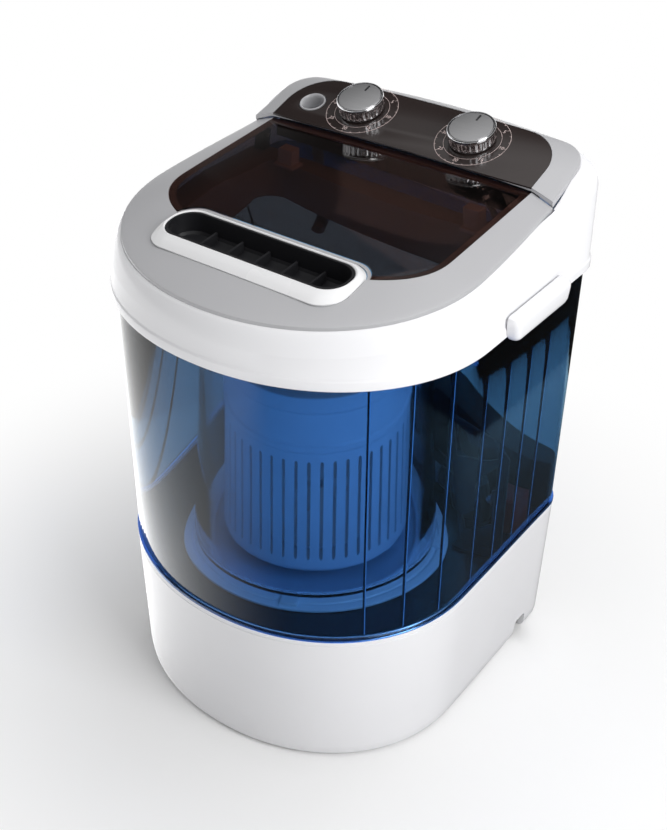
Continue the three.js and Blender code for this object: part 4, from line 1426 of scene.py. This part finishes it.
@dataclass
class Interior(Assembly):
    """The grey floor of the basket well, its posts, and the dark housings, hoses and loom behind the tub."""

    drain: tuple[tuple[float, float, float], ...] = (
        (75.2, 100, 165.9), (64, 101, 166), (40, 110, 166), (10, 122, 161), (0, 124, 146), (0, 127, 122),
        (0, 142, 106), (0, 158.4, 104))
    inlet: tuple[tuple[float, float, float], ...] = (
        (-111, 133.6, 479.5), (-111, 136, 456), (-104, 126, 436), (-84, 104, 426), (-70, 84, 420),
        (-62, 68, 414))
    loom: tuple[tuple[float, float, float], ...] = (
        (66, 140, 466), (76, 144, 440), (86, 130, 404), (88, 128, 300), (86, 128, 200), (86, 128, 150),
        (82, 116, 126), (80, 100, 119.5))
    well_top: float = 463.0
    well_slope: float = 0.06

    def build(self) -> None:
        """Make the inner pieces."""
        self.well()
        for node, finish, width in (("service_cover", BLACK, 1.6), ("control_bracket", BLACK, 0.8),
                                    ("drain_actuator", RED, 1.2), ("basket_post_left", INNER_GREY, 1.4),
                                    ("basket_post_right", INNER_GREY, 1.4)):
            self.fit(softened(node, width), finish, nodes=(node,))
        hose = swept("drain_hose_ribbed", [Vector(p) for p in self.drain],
                     lambda s: 7.1 + 0.4 * math.cos(2 * math.pi * s / 4.4), 28, 22)
        self.fit(hose, HOSE, nodes=("drain_hose",))
        pipe = swept("inlet_pipe_smooth", [Vector(p) for p in self.inlet], lambda s: 5.5, 28, 14)
        self.fit(pipe, HOSE, nodes=("inlet_pipe",))
        loom = swept("wiring_loom", [Vector(p) for p in self.loom],
                     lambda s: 3.0 + 0.18 * math.cos(2 * math.pi * s / 7.0), 20, 40)
        self.fit(loom, BLACK, nodes=("wiring_harness",))

    def well(self) -> None:
        """Make the floor of the basket well, with a rolled edge round the mouth."""
        def rule(y: float) -> float:
            """Return how far the floor has risen at a depth."""
            return self.well_slope * y

        top = self.well_top
        outer = [Level(-2.5, 432.0), Level(-2.5, top - 7, 0, 0, rule), Level(-2.5, top - 3.2, 0, 0, rule)]
        sheet = [Level(-2.5, top - 3.0, 1.0, 11.0, rule), Level(-2.5, top - 0.3, 1.0, 11.0, rule),
                 Level(-2.5, top, 1.0, 11.4, rule)]
        roll = [Level(-2.6, top, 0, 0, rule), Level(-2.0, top + 0.9, 0, 0, rule),
                Level(-1.2, top + 1.2, 0, 0, rule), Level(-0.4, top + 0.8, 0, 0, rule),
                Level(0.0, top - 0.2, 0, 0, rule), Level(0.0, 432.0)]
        floor = skin("well_floor", rings_of([*outer, *sheet, *roll], MOUTH, GROOVE), closed=True)
        carve(floor, block((-200.0, 200.0), (91.5, 230.0), (420.0, 500.0)))
        self.fit(floor, WELL_FLOOR, nodes=("inner_deck",))


# ---------------------------------------------------------------- control panel


def on_panel(x: float, y: float) -> Matrix:
    """Return the placement of a piece made upright at the origin onto the tilted panel."""
    return Matrix.Translation(Vector((x, y, panel_top(y))) * MM) @ Matrix.Rotation(PANEL_TILT, 4, "X")


def crown(edge: HeightRule, rise: float, drop: float, lowered: float = 0.0, inset: float = 0.0,
          steps: int = 5) -> Object:
    """Make the soft crowned solid that lid and panel are both cut from.

    Args:
        edge: The height of its edge.
        rise: How far its top lies over its edge.
        drop: How far its wall hangs under its edge.
        lowered: How far to sink the whole crown, for the hollow under it.
        inset: How far inside the groove it starts.
        steps: Rings between two levels of the crown.

    Returns:
        The solid.
    """
    side = 0.4 + inset
    arc = smooth([Level(side, b - lowered, t, 0.0, edge) for t, b in
                  ((0.0, 1.2), (0.05, 2.6), (0.45, 3 + (rise - 3) * 0.42), (1.0, rise))], steps)
    levels = [Level(side + 0.8, -drop, 0, 0, edge), Level(side, 0.8 - drop, 0, 0, edge), *arc]
    return skin("crown", rings_of(levels, GROOVE, GLASS))


@dataclass
class ControlPanel(Assembly):
    """The silver crown behind the lid, its smoked plate, the water inlet and both printed dials."""

    knob_x: float = 59.3
    knob_y: float = 128.6
    inlet_x: float = -111.0
    inlet_y: float = 121.5
    joint_y: float = 94.9
    dial_outer: float = 33.6
    dial_inner: float = 25.6
    numbers: tuple[tuple[int, float], ...] = (
        (0, 90.0), (5, 45.0), (10, 0.0), (15, -45.0), (20, -90.0), (25, -135.0), (30, 180.0), (35, 135.0))

    def build(self) -> None:
        """Make the panel's pieces."""
        self.housing()
        self.plate()
        self.water_inlet()
        self.joint_apron()
        marks = [m for side in (-1, 1) for m in self.dial(side)]
        self.fit(merged("dial_print", marks), PRINT)

    def cutters(self, knob_hole: float) -> list[Object]:
        """Make what both housing and plate are cut with: joint, front, knob holes and inlet hole."""
        front = block((-200.0, 200.0), (-230.0, self.joint_y), (400.0, 560.0))
        holes = [rod(knob_hole, (-24.0, 10.0), on_panel(s * self.knob_x, self.knob_y)) for s in (-1, 1)]
        inlet = rod(13.1, (-24.0, 10.0), on_panel(self.inlet_x, self.inlet_y), 64)
        return [front, hinge_barrel(0.6), *holes, inlet]

    def housing(self) -> None:
        """Make the silver crown."""
        body = crown(panel_edge, PANEL_CROWN, 4.5)
        hollow = crown(panel_edge, PANEL_CROWN, 8.8, 3.0, 3.0)
        recess = stacked("cutter", [(GLASS.ring(), -GLASS_THICK - 0.1), (GLASS.ring(), 3.0)], panel_top)
        carve(body, hollow, recess, *self.cutters(9.0))
        body.name = "panel_crown"
        self.fit(body, SILVER, nodes=("panel_housing",))

    def joint_apron(self) -> None:
        """Make the dark sheet that closes the panel's front behind the hinge joint: painted shade for the gap
        there.
        """
        outline = stadium(140.0, 106.9, 108.7, 0.7, 3)
        # a black sheet that paints the shade seen through the joint's gap
        apron = stacked("panel_joint_shade", [(outline, 474.0), (outline, 499.0), (widened(outline, -0.3), 499.6)])
        self.fit(apron, BLACK)

    def plate(self) -> None:
        """Make the smoked plate, with a soft edge."""
        plate = stacked("panel_plate_fine", [(GLASS.ring(0.4), 0.2 - GLASS_THICK), (GLASS.ring(0.4), -0.3),
                                             (GLASS.ring(0.5), -0.1), (GLASS.ring(0.8), 0.0)], panel_top)
        carve(plate, *self.cutters(4.5))
        self.fit(plate, PANEL_GLASS, nodes=("panel_plate",))

    def water_inlet(self) -> None:
        """Make the silver water inlet: a rolled rim round a deep cup with a screened floor."""
        cup = rounded([(5, -30), (7, -30), (7, -20), (12.5, -18), (12.5, 0.2), (12.2, 0.8), (11.2, 0.9),
                       (10.4, -0.6), (9.9, -3.0), (9.9, -15.6), (8.4, -16.4), (5, -18)], 0.5, 3)
        inlet = turned("water_inlet_cup", cup, 72)
        bars = []
        for turn in (0, 60, 120):
            outline = stadium(6.0, -0.9, 0.9, 0.5, 3)
            bar = stacked("bar", [(outline, -19.6), (outline, -18.2)])
            bar.data.transform(Matrix.Rotation(math.radians(turn), 4, "Z"))
            bars.append(bar)
        carve(inlet, *bars, mode=Carve.JOIN)
        inlet.data.transform(on_panel(self.inlet_x, self.inlet_y))
        self.fit(inlet, SILVER, nodes=("water_inlet",))

    def dial(self, side: int) -> list[Object]:
        """Make one dial's print: two thin rings, division marks and the minute numbers.

        Args:
            side: 1 for the right dial, -1 for the left.

        Returns:
            The marks, each in its place on the panel.
        """
        place = on_panel(side * self.knob_x, self.knob_y)
        marks = [self.thin_ring(self.dial_outer, 0.35), self.thin_ring(self.dial_inner, 0.3)]
        for number, bearing in self.numbers:
            for step in range(3):
                turn = math.radians(bearing - 15.0 * step)
                reach = 2.0 if step == 0 else 1.2
                marks.append(self.tick(turn, reach))
            if number <= 30:
                marks.append(self.digits(str(number), math.radians(bearing)))
        for mark in marks:
            mark.matrix_world = place @ mark.matrix_world
        bpy.context.view_layer.update()
        return marks

    @staticmethod
    def thin_ring(radius: float, width: float) -> Object:
        """Make a thin printed ring that lies just over the plate."""
        profile = [(radius, 0.02), (radius + width, 0.02), (radius + width, 0.08), (radius, 0.08)]
        return turned("mark", profile, 120)

    def tick(self, turn: float, reach: float) -> Object:
        """Make one division mark inside the outer ring.

        Args:
            turn: Its bearing, in radians.
            reach: Its length.

        Returns:
            The mark, centred on the dial's middle.
        """
        start = self.dial_outer - reach
        outline = [(start, -0.2), (self.dial_outer, -0.2), (self.dial_outer, 0.2), (start, 0.2)]
        mark = stacked("mark", [(outline, 0.02), (outline, 0.08)])
        mark.matrix_world = Matrix.Rotation(turn, 4, "Z")
        return mark

    def digits(self, text: str, turn: float) -> Object:
        """Make one number as a flat mesh, upright as seen from the front.

        Args:
            text: The number.
            turn: Its bearing, in radians.

        Returns:
            The number's mesh.
        """
        curve = bpy.data.curves.new("digits", "FONT")
        curve.body = text
        curve.size = 5.2 * MM
        curve.extrude = 0.03 * MM
        curve.align_x = "CENTER"
        curve.align_y = "CENTER"
        source = bpy.data.objects.new("digits", curve)
        bpy.context.scene.collection.objects.link(source)
        bpy.context.view_layer.update()
        graph = bpy.context.evaluated_depsgraph_get()
        mesh = bpy.data.meshes.new_from_object(source.evaluated_get(graph))
        bpy.data.objects.remove(source)
        mark = bpy.data.objects.new("digits", mesh)
        bpy.context.scene.collection.objects.link(mark)
        middle = (self.dial_inner + self.dial_outer - 1.6) / 2
        spot = Vector((middle * math.cos(turn), middle * math.sin(turn), 0.06))
        mark.matrix_world = Matrix.Translation(spot * MM)
        return mark


# ---------------------------------------------------------------- timer knobs


@dataclass
class TimerKnob(Assembly):
    """A bright knob: fluted skirt, rounded rim, brushed face sunk inside it, and a grip bar with a line."""

    side: int
    radius: float = 22.0
    height: float = 15.0
    flutes: int = 24
    rim_width: float = 1.5
    face_drop: float = 0.35

    def build(self) -> None:
        """Make the knob's pieces and put them on its own body."""
        label = "wash" if self.side < 0 else "spin"
        body = f"{label}_dial"
        place = on_panel(self.side * 59.3, 128.6)
        for piece, finish in ((self.skirt(label), CHROME), (self.face(label), KNOB_TOP),
                              (self.gap(label), BLACK), (self.pointer(label), BLACK)):
            piece.data.transform(place)
            nodes = (f"{label}_timer_knob",) if finish is CHROME else ()
            self.fit(piece, finish, body, nodes)

    def skirt(self, label: str) -> Object:
        """Make the plated skirt and rim, fluted round its side.

        Args:
            label: Which knob it is.

        Returns:
            The skirt.
        """
        r, h, w = self.radius, self.height, self.rim_width
        profile = rounded([(3.4, 0.8), (r - 1.6, 0.8), (r - 1.0, 2.0), (r - 0.7, 3.2), (r - 0.3, h - 4.4),
                           (r, h - 3.0), (r - 0.3, h - 1.0), (r - 1.6, h), (r - w + 0.3, h - 0.1),
                           (r - w, h - 1.0), (r - w, h - 3.6), (3.4, h - 4.0)], 0.8, 4)

        def dent(radius: float, height: float, turn: float) -> float:
            """Return how far a flute takes the side in, which fades out at the top and bottom."""
            if radius <= r - 1.5:
                return 0.0
            share = min(max((height - 2.2) / 1.6, 0.0), 1.0) * min(max((h - 3.4 - height) / 1.6, 0.0), 1.0)
            return -0.75 * share * (0.5 + 0.5 * math.cos(self.flutes * turn)) ** 2

        rows: list[Point] = []
        for a, b in zip(profile, [*profile[1:], profile[0]]):
            count = 6 if abs(b[1] - a[1]) > 4 and a[0] > r - 2 else 1
            for k in range(count):
                rows.append((a[0] + (b[0] - a[0]) * k / count, a[1] + (b[1] - a[1]) * k / count))
        rings = []
        for radius, height in rows:
            ring = []
            for k in range(192):
                turn = 2 * math.pi * k / 192
                reach = radius + dent(radius, height, turn)
                ring.append(Vector((reach * math.cos(turn), reach * math.sin(turn), height)))
            rings.append(ring)
        return skin(label + "_knob_rim", rings, closed=True, angle=40)

    def face(self, label: str) -> Object:
        """Make the brushed face, domed a little towards its middle.

        Args:
            label: Which knob it is.

        Returns:
            The face.
        """
        r = self.radius - self.rim_width - 0.7
        z = self.height - self.face_drop
        disc = turned(label + "_knob_face", rounded([(0.0, z - 2.0), (r, z - 2.0), (r, z - 0.5), (r - 0.6, z),
                                                     (0.0, z + 0.25)], 0.3, 3, False), 120)
        return disc

    def gap(self, label: str) -> Object:
        """Make the dark groove between the face and the rim."""
        r = self.radius - self.rim_width
        z = self.height - self.face_drop - 1.4
        profile = [(r - 1.0, z - 0.8), (r - 0.05, z - 0.8), (r - 0.05, z), (r - 1.0, z)]
        return turned(label + "_knob_groove", profile, 96)

    def pointer(self, label: str) -> Object:
        """Make the short raised mark that tells the knob's turn."""
        z = self.height - self.face_drop
        outline = stadium(0.9, 8.6, 16.6, 0.8, 5)
        layers = [(outline, z - 0.6), (outline, z + 0.35), (widened(outline, -0.25), z + 0.6)]
        return stacked(label + "_knob_mark", layers)


# ---------------------------------------------------------------- lid


@dataclass
class Lid(Assembly):
    """The silver lid with its smoked window, and the bright recessed handle at its front."""

    pad_half: float = 97.0
    pad_y: Point = (-131.0, -69.0)
    pad_radius: float = 22.0
    cup_half: float = 90.5
    cup_y: Point = (-117.5, -78.5)
    cup_radius: float = 18.0
    finger_walls: int = 5
    dots: int = 22

    def __post_init__(self) -> None:
        """Work out the two outlines that the handle shares."""
        self.pad = stadium(self.pad_half, *self.pad_y, self.pad_radius)
        self.cup = stadium(self.cup_half, *self.cup_y, self.cup_radius)

    def build(self) -> None:
        """Make the lid's pieces."""
        self.crowned_frame()
        self.window()
        self.bezel()
        self.recess()

    @staticmethod
    def layers(name: str, rows: list[tuple[list[Point], float]], closed: bool = False) -> Object:
        """Join outlines at heights over the lid's edge plane."""
        return stacked(name, rows, lid_edge, closed)

    def ahead(self, extra: float) -> Object:
        """Make the solid in which the lid lies: all in front of the hinge, and the rolled rear edge."""
        room = block((-200.0, 200.0), (-230.0, HINGE[0]), (400.0, 560.0))
        return carve(room, hinge_barrel(extra), mode=Carve.JOIN)

    def crowned_frame(self) -> None:
        """Make the silver frame."""
        body = crown(lid_edge, CROWN, 4.5)
        hollow = crown(lid_edge, CROWN, 8.8, 3.0, 3.0)
        carve(body, self.ahead(0.0), mode=Carve.WITHIN)
        opening = self.layers("cutter", [(GLASS.ring(7.0), -10.0), (GLASS.ring(7.0), 20.0)])
        bar = block((-150.0, 150.0), (HINGE[0] + 7, 120.0), (400.0, 560.0))
        pad_room = self.layers("cutter", [(widened(self.pad, 3.0), -12.0), (widened(self.pad, 3.0), 22.0)])
        carve(opening, bar, pad_room)
        recess = self.layers("cutter", [(GLASS.ring(), CROWN - GLASS_THICK - 0.1), (GLASS.ring(), 20.0)])
        carve(body, hollow, opening, recess)
        plate = self.layers("pad", [(self.pad, 3.0), (self.pad, 6.2)])
        ears = [block((min(x), max(x)), (HINGE[0] - 5, HINGE[0] + 4), (HINGE[1] - 5, HINGE[1] + 9))
                for x in ((144.0, 149.0), (-149.0, -144.0))]
        carve(body, plate, *ears, mode=Carve.JOIN)
        top = self.layers("cutter", [(widened(self.pad, 0.6), 6.2), (widened(self.pad, 0.6), 30.0)])
        cup = self.layers("cutter", [(widened(self.cup, 0.5), -30.0), (widened(self.cup, 0.5), 30.0)])
        across = Matrix.Rotation(math.pi / 2, 4, "Y")
        pins = [rod(2.6, (-10.0, 10.0), Matrix.Translation(Vector((s * 140.5, *HINGE)) * MM) @ across)
                for s in (-1, 1)]
        carve(body, top, cup, *pins)
        body.name = "lid_crown"
        self.fit(body, SILVER, "lid", ("lid_frame",))

    def window(self) -> None:
        """Make the smoked window, with a soft edge."""
        under, top = CROWN - GLASS_THICK + 0.2, CROWN
        pane = self.layers("lid_pane", [(GLASS.ring(0.4), under), (GLASS.ring(0.4), top - 0.3),
                                        (GLASS.ring(0.5), top - 0.1), (GLASS.ring(0.8), top)])
        carve(pane, self.ahead(-0.3), mode=Carve.WITHIN)
        hole = self.layers("cutter", [(widened(self.pad, 3.4), -10.0), (widened(self.pad, 3.4), 20.0)])
        carve(pane, hole)
        self.fit(pane, SMOKED, "lid", ("lid_window",))

    def bezel(self) -> None:
        """Make the plated bezel: a soft slope from the window up to the recess."""
        pad, cup = self.pad, self.cup
        rows = [(pad, 6.5), (pad, 7.2)]
        near, far = pad, widened(cup, 2.9)
        for k in range(1, 9):
            f = k / 8
            rise = f + 0.12 * math.sin(f * math.pi)
            rows.append(([(a[0] + (b[0] - a[0]) * f, a[1] + (b[1] - a[1]) * f) for a, b in zip(near, far)],
                         7.2 + (12.6 - 7.2) * rise))
        rows += [(widened(cup, 2.0), 13.0), (widened(cup, 1.2), 12.8), (widened(cup, 0.7), 12.2),
                 (widened(cup, 0.6), 6.5)]
        self.fit(self.layers("lid_handle_rim", rows, closed=True), BEZEL, "lid", ("lid_handle_bezel",))

    def recess(self) -> None:
        """Make the dark recess, with finger walls across it and a row of grip dots along its front."""
        cup = self.cup
        outer = [(widened(cup, -6.0), -9.0), (widened(cup, -1.6), -7.4), (cup, -5.0), (cup, 12.4)]
        inner = [(widened(cup, -1.8), 12.4), (widened(cup, -1.8), -3.6), (widened(cup, -3.4), -5.8),
                 (widened(cup, -8.0), -7.0)]
        bowl = self.layers("lid_recess", [*outer, *inner])
        self.fit(bowl, BLACK, "lid", ("lid_handle_cup",))
        walls = []
        span = self.cup_half - 6
        for k in range(self.finger_walls):
            x = -span + 2 * span * (k + 1) / (self.finger_walls + 1)
            outline = [(x - 1.3, -114.6), (x + 1.3, -114.6), (x + 0.9, -82.0), (x - 0.9, -82.0)]
            rows = [(outline, -7.2), (outline, 1.4), (widened_at(outline, 0.6), 2.2)]
            walls.append(self.layers("wall", rows))
        self.fit(merged("lid_finger_walls", walls), BLACK, "lid")
        dots = []
        for k in range(self.dots):
            x = -78.0 + 156.0 * k / (self.dots - 1)
            ring = [(x + 1.5 * math.cos(t), -109.8 + 1.5 * math.sin(t))
                    for t in (2 * math.pi * i / 16 for i in range(16))]
            dots.append(self.layers("dot", [(ring, -7.2), (ring, -6.2), (widened_at(ring, 0.35), -5.9)]))
        self.fit(merged("lid_grip_dots", dots), RUBBER, "lid")


def widened_at(points: list[Point], less: float) -> list[Point]:
    """Return a small outline drawn in towards its own middle by a margin.

    Args:
        points: The outline.
        less: The margin.

    Returns:
        As many points, drawn in.
    """
    mx = sum(x for x, _ in points) / len(points)
    my = sum(y for _, y in points) / len(points)
    hx = max(abs(x - mx) for x, _ in points)
    hy = max(abs(y - my) for _, y in points)
    return [(mx + (x - mx) * (hx - less) / hx, my + (y - my) * (hy - less) / hy) for x, y in points]


# ---------------------------------------------------------------- studio


@dataclass
class Lamp:
    """One soft rectangular lamp."""

    name: str
    at: tuple[float, float, float]
    size: Point
    power: float
    colour: Colour = (1.0, 1.0, 1.0)
    aim: tuple[float, float, float] = (0.0, 0.0, 0.27)
    mirrored: bool = True

    def build(self) -> None:
        """Put the lamp in the scene, facing its aim."""
        data = bpy.data.lights.new(self.name, "AREA")
        data.shape = "RECTANGLE"
        data.size, data.size_y = self.size
        data.energy = self.power
        data.color = self.colour
        lamp = bpy.data.objects.new(self.name, data)
        bpy.context.scene.collection.objects.link(lamp)
        lamp.location = self.at
        lamp.visible_glossy = self.mirrored
        lamp.rotation_euler = (Vector(self.aim) - lamp.location).to_track_quat("-Z", "Y").to_euler()


@dataclass
class Studio:
    """A pale sweep, soft lamps and a bright surround that is darker where it is only reflected."""

    floor_half: float = 6000.0
    floor_tint: float = 0.9
    fade: Point = (0.14, 0.62)
    mirrored_floor: Point = (2.2, 0.04)
    backdrop: float = 1.0
    glow: tuple[float, float, float] = (0.3, 0.42, 0.0)
    mirrored_glow: tuple[float, float, float] = (0.8, 0.05, 1.2)
    lamps: tuple[Lamp, ...] = (
        Lamp("key", (1.25, -0.25, 0.95), (0.8, 0.8), 13.0),
        Lamp("fill", (-1.5, -0.2, 0.8), (1.2, 1.2), 2.5),
        Lamp("overhead", (0.15, 0.1, 1.7), (1.1, 1.1), 8.0, mirrored=False),
        Lamp("back", (-0.2, 1.4, 1.2), (1.6, 0.6), 5.0, mirrored=False),
    )

    def build(self) -> None:
        """Make the sweep, the surround, the lamps and the camera."""
        self.sweep()
        self.surround()
        for lamp in self.lamps:
            lamp.build()
        self.camera()

    def sweep(self) -> None:
        """Make the pale floor: it fades to white far off, and its mirror image is dark on the right."""
        half = self.floor_half
        corners = ((-half, -half), (half, -half), (half, half), (-half, half))
        points = [Vector((x, y, -0.5)) for x, y in corners]
        floor = new_object("studio_floor", points, [(0, 1, 2, 3)])
        material = bpy.data.materials.new("studio_floor")
        material.use_nodes = True
        tree = material.node_tree
        shader = tree.nodes["Principled BSDF"]
        socket_value(shader, "Roughness", 0.9)
        socket_value(shader, "Specular IOR Level", 0.1)
        cloud = tree.nodes.new("ShaderNodeTexNoise")
        socket_value(cloud, "Scale", 3.0)
        shades = (self.floor_tint - 0.01, self.floor_tint + 0.01)
        tint = self.graded(tree, cloud.outputs["Fac"], (0.0, 1.0), shades)
        tree.links.new(tint, shader.inputs["Base Color"])
        place = tree.nodes.new("ShaderNodeTexCoord").outputs["Object"]
        reach = tree.nodes.new("ShaderNodeVectorMath")
        reach.operation = "LENGTH"
        tree.links.new(place, reach.inputs[0])
        far = self.graded(tree, reach.outputs["Value"], self.fade, (0.0, 1.0))
        glow = tree.nodes.new("ShaderNodeEmission")
        pale = self.blended(tree, far, shader.outputs["BSDF"], glow.outputs["Emission"])
        split = tree.nodes.new("ShaderNodeSeparateXYZ")
        tree.links.new(place, split.inputs[0])
        mirrored = tree.nodes.new("ShaderNodeEmission")
        tree.links.new(self.graded(tree, split.outputs["X"], (-0.25, 0.1), self.mirrored_floor),
                       mirrored.inputs["Strength"])
        final = self.blended(tree, self.mirrored_share(tree), pale, mirrored.outputs["Emission"])
        tree.links.new(final, tree.nodes["Material Output"].inputs["Surface"])
        floor.data.materials.append(material)

    @staticmethod
    def graded(tree: NodeTree, value: NodeSocket, start: Point, end: Point) -> NodeSocket:
        """Map a value softly from one range to another.

        Args:
            tree: The node tree to add to.
            value: The value to map.
            start: The range that it comes from.
            end: The range that it goes to.

        Returns:
            The mapped value's socket.
        """
        ramp = tree.nodes.new("ShaderNodeMapRange")
        ramp.interpolation_type = "SMOOTHSTEP"
        tree.links.new(value, ramp.inputs["Value"])
        for label, number in zip(("From Min", "From Max", "To Min", "To Max"), (*start, *end)):
            socket_value(ramp, label, number)
        return ramp.outputs["Result"]

    @staticmethod
    def blended(tree: NodeTree, share: NodeSocket, first: NodeSocket, second: NodeSocket) -> NodeSocket:
        """Mix two shaders by a share.

        Args:
            tree: The node tree to add to.
            share: The second shader's share.
            first: The shader at a share of 0.
            second: The shader at a share of 1.

        Returns:
            The mixed shader's socket.
        """
        mix = tree.nodes.new("ShaderNodeMixShader")
        tree.links.new(share, mix.inputs["Fac"])
        tree.links.new(first, mix.inputs[1])
        tree.links.new(second, mix.inputs[2])
        return mix.outputs["Shader"]

    @staticmethod
    def mirrored_share(tree: NodeTree) -> NodeSocket:
        """Return 1 for what is seen in a reflection, 0 for what is seen through a clear piece or directly.

        Args:
            tree: The node tree to add to.

        Returns:
            The share's socket.
        """
        path = tree.nodes.new("ShaderNodeLightPath")
        share = tree.nodes.new("ShaderNodeMath")
        share.operation = "SUBTRACT"
        share.use_clamp = True
        tree.links.new(path.outputs["Is Glossy Ray"], share.inputs[0])
        tree.links.new(path.outputs["Is Transmission Ray"], share.inputs[1])
        return share.outputs[0]

    def surround(self) -> None:
        """Make the world: white to the eye, a soft gradient as a light, darker where it is mirrored."""
        world = bpy.data.worlds.new("studio")
        bpy.context.scene.world = world
        world.use_nodes = True
        tree = world.node_tree
        seen = tree.nodes["Background"]
        socket_value(seen, "Color", (1.0, 1.0, 1.0, 1.0))
        socket_value(seen, "Strength", self.backdrop)
        split = tree.nodes.new("ShaderNodeSeparateXYZ")
        tree.links.new(tree.nodes.new("ShaderNodeTexCoord").outputs["Generated"], split.inputs[0])
        path = tree.nodes.new("ShaderNodeLightPath")
        shades = []
        for glow in (self.glow, self.mirrored_glow):
            lit = tree.nodes.new("ShaderNodeBackground")
            low = self.graded(tree, split.outputs["Z"], (0.0, 0.4), glow[:2])
            high = self.graded(tree, split.outputs["Z"], (0.66, 0.9), (0.0, glow[2]))
            both = tree.nodes.new("ShaderNodeMath")
            tree.links.new(low, both.inputs[0])
            tree.links.new(high, both.inputs[1])
            tree.links.new(both.outputs[0], lit.inputs["Strength"])
            shades.append(lit.outputs["Background"])
        mixed = self.blended(tree, self.mirrored_share(tree), *shades)
        final = self.blended(tree, path.outputs["Is Camera Ray"], mixed, seen.outputs["Background"])
        tree.links.new(final, tree.nodes["World Output"].inputs["Surface"])

    @staticmethod
    def camera() -> None:
        """Set the camera high at the front right, and a plain view transform."""
        data = bpy.data.cameras.new("camera")
        data.lens = 53.24
        data.sensor_width = 36.0
        data.shift_x, data.shift_y = 0.0135, 0.0458
        data.dof.use_dof = False
        camera = bpy.data.objects.new("camera", data)
        bpy.context.scene.collection.objects.link(camera)
        camera.location = (0.5692, -0.7749, 0.9312)
        aim = Vector((0.0, -0.0085, 0.23)) - camera.location
        turn = aim.to_track_quat("-Z", "Y").to_matrix().to_4x4() @ Matrix.Rotation(math.radians(0.47), 4, "Z")
        camera.rotation_euler = turn.to_euler()
        bpy.context.scene.camera = camera
        bpy.context.scene.view_settings.view_transform = "Standard"


# ---------------------------------------------------------------- everything


def main() -> None:
    """Build every sub-assembly in order, then the studio."""
    logging.basicConfig(level=logging.INFO, format="%(message)s")
    effects = Effects()
    CarriedParts(effects).build()
    Base(effects).build()
    Cabinet(effects).build()
    TopFrame(effects).build()
    Drum(effects).build()
    Interior(effects).build()
    ControlPanel(effects).build()
    for side in (-1, 1):
        TimerKnob(effects, side).build()
    Lid(effects).build()
    Studio().build()


if __name__ == "__main__":
    main()
